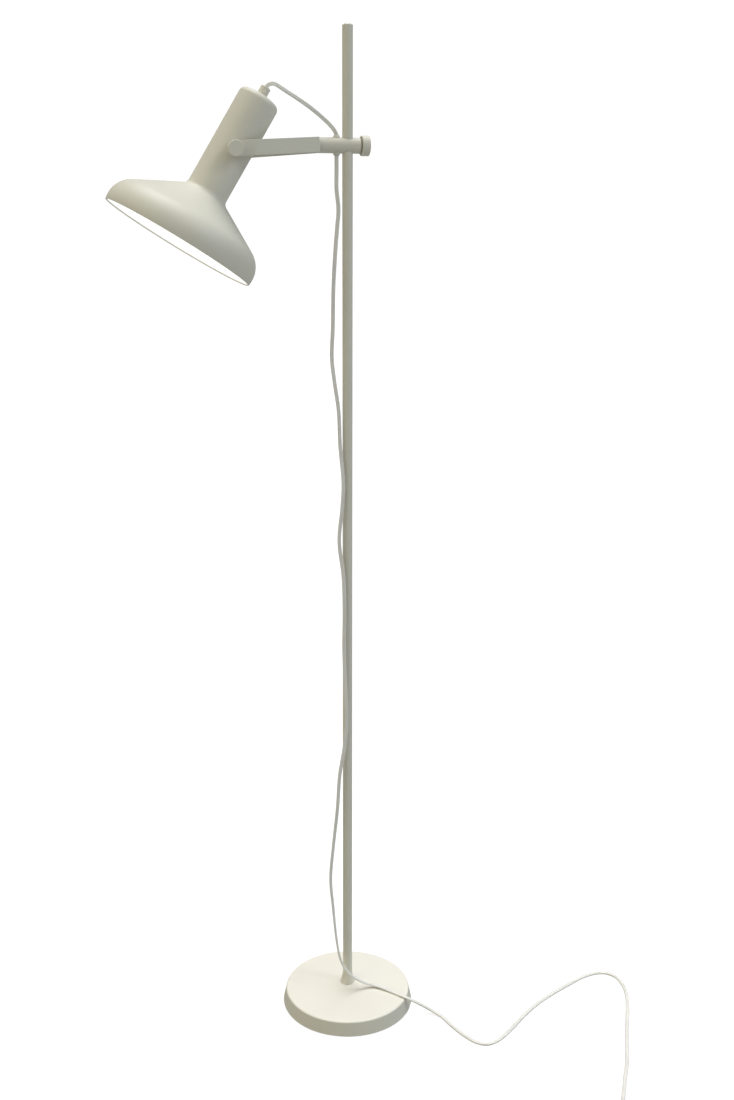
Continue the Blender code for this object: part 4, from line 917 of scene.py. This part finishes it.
def fork_block():
    """Slab with a trapezium outline, bored for the barrel's spigot."""
    half = inner_face(np.array([BLOCK_START, BLOCK_END])) - 0.25 * MM
    corners = np.array([(BLOCK_START, half[0]), (BLOCK_START, -half[0]),
                        (BLOCK_END, -half[1]), (BLOCK_END, half[1])])
    outline = rounded(corners, 1.0 * MM, 4)
    centre = corners.mean(axis=0)
    spine = 0 * outline + centre
    outward = unit(outline - centre)
    points = stacked_points(outline, outward, spine, slab_profile(-BLOCK_HALF, BLOCK_HALF, 0.8 * MM))
    placed = in_fork(points[..., 0], points[..., 1], points[..., 2])
    mesh = welded_mesh("fork_wedge", placed, grid_faces(*points.shape[:2]), 35)
    return cut_mesh(mesh, [rod_mesh(6.5 * MM, -63 * MM, -40 * MM, ARM, 48)], sharp=35)


add_piece("fork_wedge", fork_block(), "putty_coat", "arm", "fork_block")

# %% [markdown]
# ## Head
# Housing and reflector are one spun shell. Its outline is a tube with a round shoulder at the top, a
# small fillet, a cone, and a large round that curls in to the rim. Moving the outline inwards by the
# sheet's thickness gives the inner face, and a half circle closes the rim.

# %% Shade
HOUSING_RADIUS = 31.5 * MM
HOUSING_TOP = 88.5 * MM
HOUSING_CORNER = 9.0 * MM
FLARE_START = HOUSING_TOP - 161.4 * MM
FLARE_FILLET = 10.0 * MM
FLARE_ANGLE = math.radians(61.0)
SHADE_RADIUS = 121.4 * MM
SHADE_SHOULDER = 40.0 * MM
SHADE_WIDEST = HOUSING_TOP - 235.4 * MM
SHADE_CURL = math.radians(12.4)
STUB_HOLE = 5.3 * MM
RIM_BAND = 2.2 * MM


def arc(centre, radius, start, end, count):
    """Points of an arc in the (radius, station) plane."""
    angle = np.linspace(start, end, count)
    return np.stack([centre[0] + radius * np.cos(angle), centre[1] + radius * np.sin(angle)], axis=1)


def shade_outline():
    """Outer line of the shell from the hole in its top to its rim."""
    set_back = FLARE_FILLET * math.tan(FLARE_ANGLE / 2)
    corner = arc((HOUSING_RADIUS - HOUSING_CORNER, HOUSING_TOP - HOUSING_CORNER), HOUSING_CORNER,
                 math.pi / 2, 0, 14)
    fillet = arc((HOUSING_RADIUS + FLARE_FILLET, FLARE_START + set_back), FLARE_FILLET,
                 math.pi, math.pi + FLARE_ANGLE, 12)
    shoulder = arc((SHADE_RADIUS - SHADE_SHOULDER, SHADE_WIDEST), SHADE_SHOULDER,
                   FLARE_ANGLE, -SHADE_CURL, 30)
    tube = np.linspace(corner[-1], fillet[0], 12)[1:-1]
    cone = np.linspace(fillet[-1], shoulder[0], 8)[1:-1]
    top = [(STUB_HOLE, HOUSING_TOP), (15 * MM, HOUSING_TOP)]
    return np.vstack([top, corner, tube, fillet, cone, shoulder])


def shell_outline(outer, wall):
    """Closed outline of a sheet: the outer line, a half circle round the rim, and the line moved inwards."""
    direction = unit(np.gradient(outer, axis=0))
    inward = np.stack([direction[:, 1], -direction[:, 0]], axis=1)
    inward[0] = (0.0, -1.0)
    inner = outer + wall * inward
    rim = (outer[-1] + inner[-1]) / 2
    swing = np.linspace(0, math.pi, 9)[1:-1]
    half = wall / 2 * (-inward[-1] * np.cos(swing)[:, None] + direction[-1] * np.sin(swing)[:, None])
    return np.vstack([outer, rim + half, inner[::-1]])


def mark_inside(mesh, outer):
    """Store each corner's depth behind the outer line as a share of the sheet, fading to 0 at the rim."""
    flat = turned_places(mesh, HEAD)
    start, step = outer[:-1], np.diff(outer, axis=0)
    share = ((flat[:, None] - start) * step).sum(axis=2) / (step ** 2).sum(axis=1)
    nearest = start + np.clip(share, 0, 1)[..., None] * step
    depth = np.linalg.norm(flat[:, None] - nearest, axis=2).min(axis=1)
    above_rim = np.clip((flat[:, 1] - flat[:, 1].min()) / RIM_BAND, 0, 1)
    inside = mesh.attributes.new("inside", "FLOAT", "POINT")
    inside.data.foreach_set("value", (depth / SHEET * above_rim).astype(np.float32))
    print("inner share of the shade:", round(float((depth > SHEET / 2).mean()), 2))


outer_line = shade_outline()
shade = turned_mesh("shade_spinning", shell_outline(outer_line, SHEET), HEAD, 192, sharp=50)
pivot_drill = rod_mesh(3.6 * MM, -45 * MM, 45 * MM, SIDES["near"], 48)
shade = cut_mesh(shade, [pivot_drill], sharp=50)
mark_inside(shade, outer_line)
add_piece("shade_spinning", shade, "shade_coat", "head", "shade_shell")

# %% [markdown]
# The gland on the head's top holds the lead and, by its threaded stub, the lampholder inside.

# %% Gland
stub_radius = 5.0 * MM
seat = HOUSING_TOP + 0.1 * MM
gland_corners = [(LEAD_BORE, GLAND_TOP), (GLAND_RADIUS, GLAND_TOP), (GLAND_RADIUS, seat), (stub_radius, seat),
                 (stub_radius, GLAND_SEAT), (LEAD_BORE, GLAND_SEAT)]
gland_radii = np.array([0.5, 1.0, 0.3, 0, 0.3, 0.2]) * MM
gland = turned_mesh("lead_gland", rounded(gland_corners, gland_radii), HEAD, 64)
add_piece("lead_gland", gland, "putty_coat", "head", "cord_gland")

# %% [markdown]
# The lampholder is two mouldings: a smooth cap that hides the terminals, and a body with grip ribs.
# A frosted globe lamp is screwed into it, so the shade is not empty when seen from below.

# %% Lampholder and lamp
bore, reach, low, high = measured("lampholder_cap", HEAD)
wall = 1.6 * MM
cap_corners = [(bore, high), (16 * MM, high), (reach, high - 4 * MM), (reach, low), (reach - wall, low),
               (reach - wall, high - 5 * MM), (15.5 * MM, high - wall), (bore, high - wall)]
cap = turned_mesh("lampholder_cover", rounded(cap_corners, 0.6 * MM), HEAD, 72)
add_piece("lampholder_cover", cap, "white_moulding", "head", "lampholder_cap")
_, reach, low, high = measured("lampholder_body", HEAD)
throat, throat_top = 14.3 * MM, high - 4.7 * MM


def ribbed_body():
    """Cup whose outer radius dips between grip ribs: r = R - d (1 - cos 24 a) / 2 on its outside."""
    corners = [(0, high), (reach, high), (reach, low), (throat, low), (throat, throat_top), (0, throat_top)]
    outline = rounded(corners, np.array([0, 0.5, 0.8, 0.4, 0.3, 0]) * MM, closed=False)
    angle = np.linspace(0, 2 * math.pi, 24 * 8, endpoint=False)
    radius, station = outline[:, :1], outline[:, 1:]
    on_side = eased((station - low) / (3 * MM)) * eased((high - 4 * MM - station) / (3 * MM))
    dip = np.where(radius > reach - 1 * MM, 0.6 * MM * on_side, 0) * (1 - np.cos(24 * angle)) / 2
    radius = radius - dip
    points = np.stack([radius * np.cos(angle), radius * np.sin(angle), station + 0 * angle], axis=-1)
    faces = grid_faces(len(outline), len(angle))
    return welded_mesh("lampholder_cup", put(points.reshape(-1, 3), HEAD), faces, 40)


add_piece("lampholder_cup", ribbed_body(), "white_moulding", "head", "lampholder_body")
_, reach, low, high = measured("bulb_glass", HEAD)
neck, globe = 12.5 * MM, reach
globe_centre = low + globe
swing = np.linspace(math.acos(neck / globe), -math.pi / 2, 30)
ball = np.stack([globe * np.cos(swing), globe_centre + globe * np.sin(swing)], axis=1)
ball[-1, 0] = 0.0
bulb = np.vstack([[(0, high)], [(neck - 0.6 * MM, high)], [(neck, high - 0.6 * MM)], ball])
bulb = turned_mesh("bulb_globe", bulb, HEAD, 64, closed=False)
add_piece("bulb_globe", bulb, "bulb_opal", "head", "bulb_glass")

# %% [markdown]
# ## Pivots
# The head hangs on two screws, one through each bar. Each has a large plain cap outside, a boss that
# fits the housing's round side, and a friction washer that lets the head stay where it is put.


# %% Pivot caps, bosses and washers
def pivot_set(name, matrix):
    """The visible pieces of one pivot, turned about its own axis."""
    _, reach, low, high = measured(f"pivot_cap_{name}", matrix)
    shank, seat = 3.0 * MM, 38.2 * MM
    corners = [(0, high), (reach, high), (reach, seat), (shank, seat), (shank, low), (0, low)]
    outline = rounded(corners, np.array([0, 0.7, 0.4, 0, 0.4, 0]) * MM, closed=False)
    cap = turned_mesh("cap", outline, matrix, 96, False)
    add_piece(f"pivot_button_{name}", cap, "putty_coat", "head", f"pivot_cap_{name}")
    bore, rim = 3.3 * MM, 9.0 * MM
    boss_in, boss_out, disc_in, disc_out = (depth * MM for depth in (28.0, 33.2, 33.4, 34.4))
    boss_corners = [(rim, boss_out), (rim, boss_in), (bore, boss_in), (bore, boss_out)]
    boss = turned_mesh("boss", rounded(boss_corners, 0.3 * MM), matrix, 72)
    boss = cut_mesh(boss, [rod_mesh(HOUSING_RADIUS + 0.1 * MM, -30 * MM, 30 * MM, HEAD, 128)])
    add_piece(f"pivot_saddle_{name}", boss, "putty_coat", "head", f"pivot_boss_{name}")
    washer_corners = [(rim, disc_out), (rim, disc_in), (bore, disc_in), (bore, disc_out)]
    washer = turned_mesh("washer", rounded(washer_corners, 0.2 * MM), matrix, 64)
    add_piece(f"pivot_disc_{name}", washer, "nylon", "arm", f"pivot_washer_{name}")


for name, matrix in SIDES.items():
    pivot_set(name, matrix)

# %% [markdown]
# ## Foot switch
# The in-line switch is a tray, a cover snapped over it, and a round push button. A ribbed sleeve at
# each end lets the lead flex without breaking its cores.


# %% Strain reliefs
RELIEF_FOOT = 6.4 * MM
RELIEF_TIP = 4.25 * MM


def strain_relief(name, origin, axis, node):
    """Taper R(s) = foot + (tip - foot) s with five grooves, each a smooth step deep, round a plain bore."""
    share = np.linspace(0, 1, 101)
    ripple = (np.cos(2 * math.pi * 5 * share) + 0.25) / 0.5
    groove = eased(ripple) * eased((0.9 - np.abs(2 * share - 1)) / 0.04)
    radius = RELIEF_FOOT + (RELIEF_TIP - RELIEF_FOOT) * share - 0.75 * MM * groove * (1 - 0.4 * share)
    radius = radius - 0.35 * MM * (1 - eased(np.minimum(share, 1 - share) / 0.03))
    outer = np.stack([radius, RELIEF_LENGTH * share], axis=1)[::-1]
    outline = np.vstack([[(LEAD_BORE, RELIEF_LENGTH)], outer, [(LEAD_BORE, 0)]])
    mesh = turned_mesh(name, outline, placement(origin, axis, (0, 0, 1)), 48, sharp=50)
    return add_piece(name, mesh, "white_moulding", "stand", node)


entry_height = np.array([0, 0, LEAD_ENTRY])
near_end = switch_start + ahead * RELIEF_LENGTH + entry_height
far_end = near_end + ahead * SWITCH_LENGTH
switch_pieces = [strain_relief("switch_sleeve_in", near_end - ahead * 0.3 * MM, -ahead, "switch_relief_in"),
                 strain_relief("switch_sleeve_out", far_end + ahead * 0.3 * MM, ahead, "switch_relief_out")]

# %% Switch tray, cover and button
SWITCH_WIDTH = 32.0 * MM
SWITCH_CORNER = 12.0 * MM
SWITCH_TRAY = 3.5 * MM
SWITCH_TOP = 19.0 * MM
SWITCH_WALL = 1.8 * MM
BUTTON_RADIUS = 8.0 * MM
switch_middle = (near_end + far_end) / 2 - entry_height
SWITCH = np.eye(4)
SWITCH[:3, :3] = np.stack([ahead, np.cross((0, 0, 1), ahead), (0, 0, 1)], axis=1)
SWITCH[:3, 3] = switch_middle
outline = rounded_box_outline(SWITCH_LENGTH, SWITCH_WIDTH, SWITCH_CORNER, 12)
tray = stacked_mesh("switch_tray", stacked_points(*outline, slab_profile(0, SWITCH_TRAY, 0.5 * MM)), SWITCH)
switch_pieces.append(add_piece("switch_tray", tray, "white_moulding", "stand", "switch_base"))


def crowned_profile(low, high, crown, edge):
    """(inset, height): a quarter ellipse of the crown's size over the top, a small round at the foot."""
    turn = np.linspace(0, math.pi / 2, 13)
    foot = turn[::3]
    inset = np.concatenate([[1.5 * crown], crown * (1 - np.sin(turn)), edge * (1 - np.cos(foot)), [2 * edge]])
    top = high - 0.62 * crown * (1 - np.cos(turn))
    height = np.concatenate([[high], top, low + edge * (1 - np.sin(foot)), [low]])
    return np.stack([inset, height], axis=1)


cover_profile = crowned_profile(SWITCH_TRAY + 0.3 * MM, SWITCH_TOP, 5 * MM, 0.4 * MM)
cover = stacked_mesh("switch_cover", stacked_points(*outline, cover_profile), SWITCH)
inside = rounded_box_outline(SWITCH_LENGTH - 2 * SWITCH_WALL, SWITCH_WIDTH - 2 * SWITCH_WALL,
                             SWITCH_CORNER - SWITCH_WALL)
hollow_profile = crowned_profile(-2 * MM, SWITCH_TOP - SWITCH_WALL, 4 * MM, 0.4 * MM)
hollow = stacked_mesh("hollow", stacked_points(*inside, hollow_profile), SWITCH)
button_axis = placement(switch_middle, (0, 0, 1))
well_radius = BUTTON_RADIUS + 0.3 * MM
well_corners = [(0, 40 * MM), (12 * MM, 40 * MM), (9.6 * MM, SWITCH_TOP),
                (well_radius, SWITCH_TOP - 1.3 * MM), (well_radius, 8 * MM), (0, 8 * MM)]
well = turned_mesh("well", np.array(well_corners), button_axis, 64, closed=False)
cover = cut_mesh(cover, [hollow, well], sharp=32)
switch_pieces.append(add_piece("switch_hood", cover, "white_moulding", "stand", "switch_cover"))

_, reach, low, high = measured("switch_button", button_axis)
dish = np.linspace(0, 1, 12)
dished = np.stack([(reach - 1.4 * MM) * dish, high - 0.7 * MM * (1 - dish ** 2)], axis=1)
rim = arc((reach - 0.9 * MM, high - 0.9 * MM), 0.9 * MM, math.pi / 2, 0, 8)
button_outline = np.vstack([dished, rim, [(reach, low), (0, low)]])
button = turned_mesh("switch_push", button_outline, button_axis, 72, False)
switch_pieces.append(add_piece("switch_push", button, "white_moulding", "foot_button", "switch_button"))
switch_pieces.append(frame["nodes"]["switch_mechanism"])

# %% [markdown]
# ## Plug and tie
# The plug is a flat moulded body with two round pins, wide at the pins and narrow at the lead, with a
# finger hollow on both faces. The tie is one flat band round the coil.


# %% Plug
PLUG_LENGTH = 38.0 * MM
PLUG_WIDTH = 35.0 * MM
PLUG_THICKNESS = PLUG_HIGH[2] - PLUG_LOW[2]
PLUG_FRONT = 18.3 * MM
PIN_SPACING = 18.6 * MM
PLUG = np.eye(4)
PLUG[:3, :3] = np.stack([away, np.cross((0, 0, 1), away), (0, 0, 1)], axis=1)
PLUG[:3, 3] = tail_end + away * (PLUG_FRONT + PLUG_LENGTH / 2)
plug_pieces = [strain_relief("plug_sleeve", tail_end + away * (PLUG_FRONT - 0.3 * MM), -away, "plug_relief")]


def plug_shell():
    """Rounded slab narrowed to the lead by a cosine, with a hollow exp(-(x/a)^2 - (y/a)^2) on each face."""
    outline, outward, spine = rounded_box_outline(PLUG_LENGTH, PLUG_WIDTH, 7.0 * MM, 10)
    edge = 3.5 * MM
    profile = slab_profile(-PLUG_THICKNESS / 2, PLUG_THICKNESS / 2, edge, 8)
    extra = np.linspace(16.0, 4.2, 14)[:, None] * MM
    faces = [np.hstack([extra, np.full((14, 1), sign * PLUG_THICKNESS / 2)]) for sign in (1, -1)]
    profile = np.vstack([faces[0], profile[1:-1], faces[1][::-1]])
    points = stacked_points(outline, outward, spine, profile)
    x, y, z = points[..., 0], points[..., 1], points[..., 2]
    narrow = 0.5 * (1 - np.cos(math.pi * np.clip((PLUG_LENGTH / 2 - x) / PLUG_LENGTH, 0, 1)))
    y = y * (1 - 0.34 * narrow)
    z = z * (1 - 0.12 * narrow)
    z = z - 1.5 * MM * np.sign(z) * np.exp(-((x + 3 * MM) / (8 * MM)) ** 2 - (y / (8 * MM)) ** 2)
    return stacked_mesh("plug_shell", np.stack([x, y, z], axis=-1), PLUG, 50)


plug_pieces.append(add_piece("plug_moulding", plug_shell(), "white_moulding", "stand", "plug_body"))
for number, side in enumerate((-1, 1), 1):
    place = placement(put(np.array([0, side * PIN_SPACING / 2, 0]), PLUG), away, (0, 0, 1))
    _, reach, low, high = measured(f"plug_pin_{number}", place)
    tip = np.linspace(math.pi / 2, 0, 8)
    pin = np.stack([reach * np.cos(tip), high - reach + reach * np.sin(tip)], axis=1)
    pin[0, 0] = 0.0
    groove = 0.9 * reach
    shank = [(reach, low + 14 * MM), (groove, low + 13.8 * MM), (groove, low), (0, low)]
    pin = np.vstack([pin, shank])
    pin = turned_mesh(f"plug_prong_{number}", pin, place, 32, False)
    plug_pieces.append(add_piece(f"plug_prong_{number}", pin, "turned_brass", "stand", f"plug_pin_{number}"))


# %% Tie
def tie_band():
    """Flat strip of rounded section carried round a rounded rectangle that just clears the coil."""
    beside = CORE_RADIUS + 0.5 * MM
    inner, outer = LANES.min() - beside, LANES.max() + beside
    low, high = LAYERS[0] - LEAD_WIDTH / 2 - 0.3 * MM, LAYERS[-1] + LEAD_WIDTH / 2 + 0.3 * MM
    outline, outward, _ = rounded_box_outline(outer - inner, high - low, 2.2 * MM, 8)
    section = rounded([(0, 4 * MM), (0, -4 * MM), (0.9 * MM, -4 * MM), (0.9 * MM, 4 * MM)], 0.3 * MM, 3)
    points = outline[:, None] + section[None, :, :1] * outward[:, None]
    side = np.broadcast_to(section[None, :, 1:], points.shape[:2] + (1,))
    points = np.concatenate([points, side], axis=2)
    outwards = heading_vector(coil_heading - math.pi / 2)
    place = np.eye(4)
    place[:3, :3] = np.stack([outwards, (0, 0, 1), np.cross(outwards, (0, 0, 1))], axis=1)
    place[:3, 3] = coil_centre * (1, 1, 0) + outwards * (inner + outer) / 2
    place[2, 3] += (low + high) / 2
    faces = grid_faces(len(outline), len(section), loop_rows=True)
    return welded_mesh("tie_band", put(points.reshape(-1, 3), place), faces, 50)


plug_pieces.append(add_piece("tie_band", tie_band(), "black_rubber", "stand", "coil_tie"))

# %% [markdown]
# ## Pieces inside
# Weight, bolt, bush, pins and nuts are hardly ever seen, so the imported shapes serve. They only need
# the finish of what they are made of.

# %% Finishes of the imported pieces
INNER_FINISHES = {"cast_iron": ("base_weight",),
                  "zinc_plate": ("base_bolt", "base_washer", "pole_foot_insert", "fork_pin_1", "fork_pin_2",
                                 "pivot_nut_near", "pivot_nut_far", "gland_nut"),
                  "turned_brass": ("clamp_pad", "lampholder_contact", "bulb_cap"),
                  "nylon": ("pole_bush",),
                  "black_rubber": ("switch_mechanism",)}
for finish, nodes in INNER_FINISHES.items():
    for name in nodes:
        for holder in frame["nodes"][name].material_slots:
            holder.material = FINISHES[finish]
print("packed pieces finished:", sum(len(nodes) for nodes in INNER_FINISHES.values()))

# %% [markdown]
# ## Floor and light
# The lamp stands on a white floor under very soft light. Most of it comes from above. A weaker warm
# light from the left and a cool one from the right give the pole its two sides. Distant lights with
# a wide angle are used, because they light the whole floor evenly and leave no pools on it.


# %% Floor and lights
def soft_light(name, heading, height, spread, strength, colour=(1, 1, 1)):
    """Distant light from a heading and height in degrees; strength 1 lights a facing white to 1."""
    data = bpy.data.lights.new(name, "SUN")
    data.energy = math.pi * strength
    data.angle = math.radians(spread)
    data.color = colour
    light = bpy.data.objects.new(name, data)
    bpy.context.scene.collection.objects.link(light)
    light.rotation_euler = (math.radians(90 - height), 0, math.radians(heading))
    return light


floor_mesh = bpy.data.meshes.new("floor")
FLOOR_HALF = 40.0
corners = [(x * FLOOR_HALF, y * FLOOR_HALF, 0) for x, y in ((-1, -1), (1, -1), (1, 1), (-1, 1))]
floor_mesh.from_pydata(corners, [], [(0, 1, 2, 3)])
floor = bpy.data.objects.new("floor", floor_mesh)
bpy.context.scene.collection.objects.link(floor)
paper = Finish("paper", {"Emission Strength": 1.0, "Specular IOR Level": 0.0})
paper.link("Base Color", paper.mixed(paper.noise(0.6), (0.34, 0.34, 0.34, 1), (0.33, 0.33, 0.33, 1)))
paper.link("Roughness", 0.9 + 0.05 * paper.noise(3.0))
seen = add_node(paper.tree, "ShaderNodeLightPath").outputs["Is Camera Ray"]
paper.link("Emission Color", paper.mixed(Signal(paper.tree, seen), (0, 0, 0, 1), (0.76, 0.76, 0.76, 1)))
floor_mesh.materials.append(FINISHES["paper"])

soft_light("overhead", 165, 79, 40, 0.76)
soft_light("key", 50, 38, 7, 0.12, (1.0, 0.98, 0.95))
soft_light("warm_left", -66, 26, 50, 0.24, (1.0, 0.92, 0.62))
soft_light("cool_right", 55, 24, 50, 0.18, (0.70, 0.88, 1.0))

world = bpy.data.worlds.new("studio")
bpy.context.scene.world = world
world.use_nodes = True
sky = world.node_tree
backdrop = sky.nodes["Background"]
direct = add_node(sky, "ShaderNodeLightPath").outputs["Is Camera Ray"]
brightness = Signal(sky, direct) * 0.85 + 0.20
sky.links.new(brightness.socket, backdrop.inputs["Strength"])
backdrop.inputs["Color"].default_value = (1, 1, 1, 1)
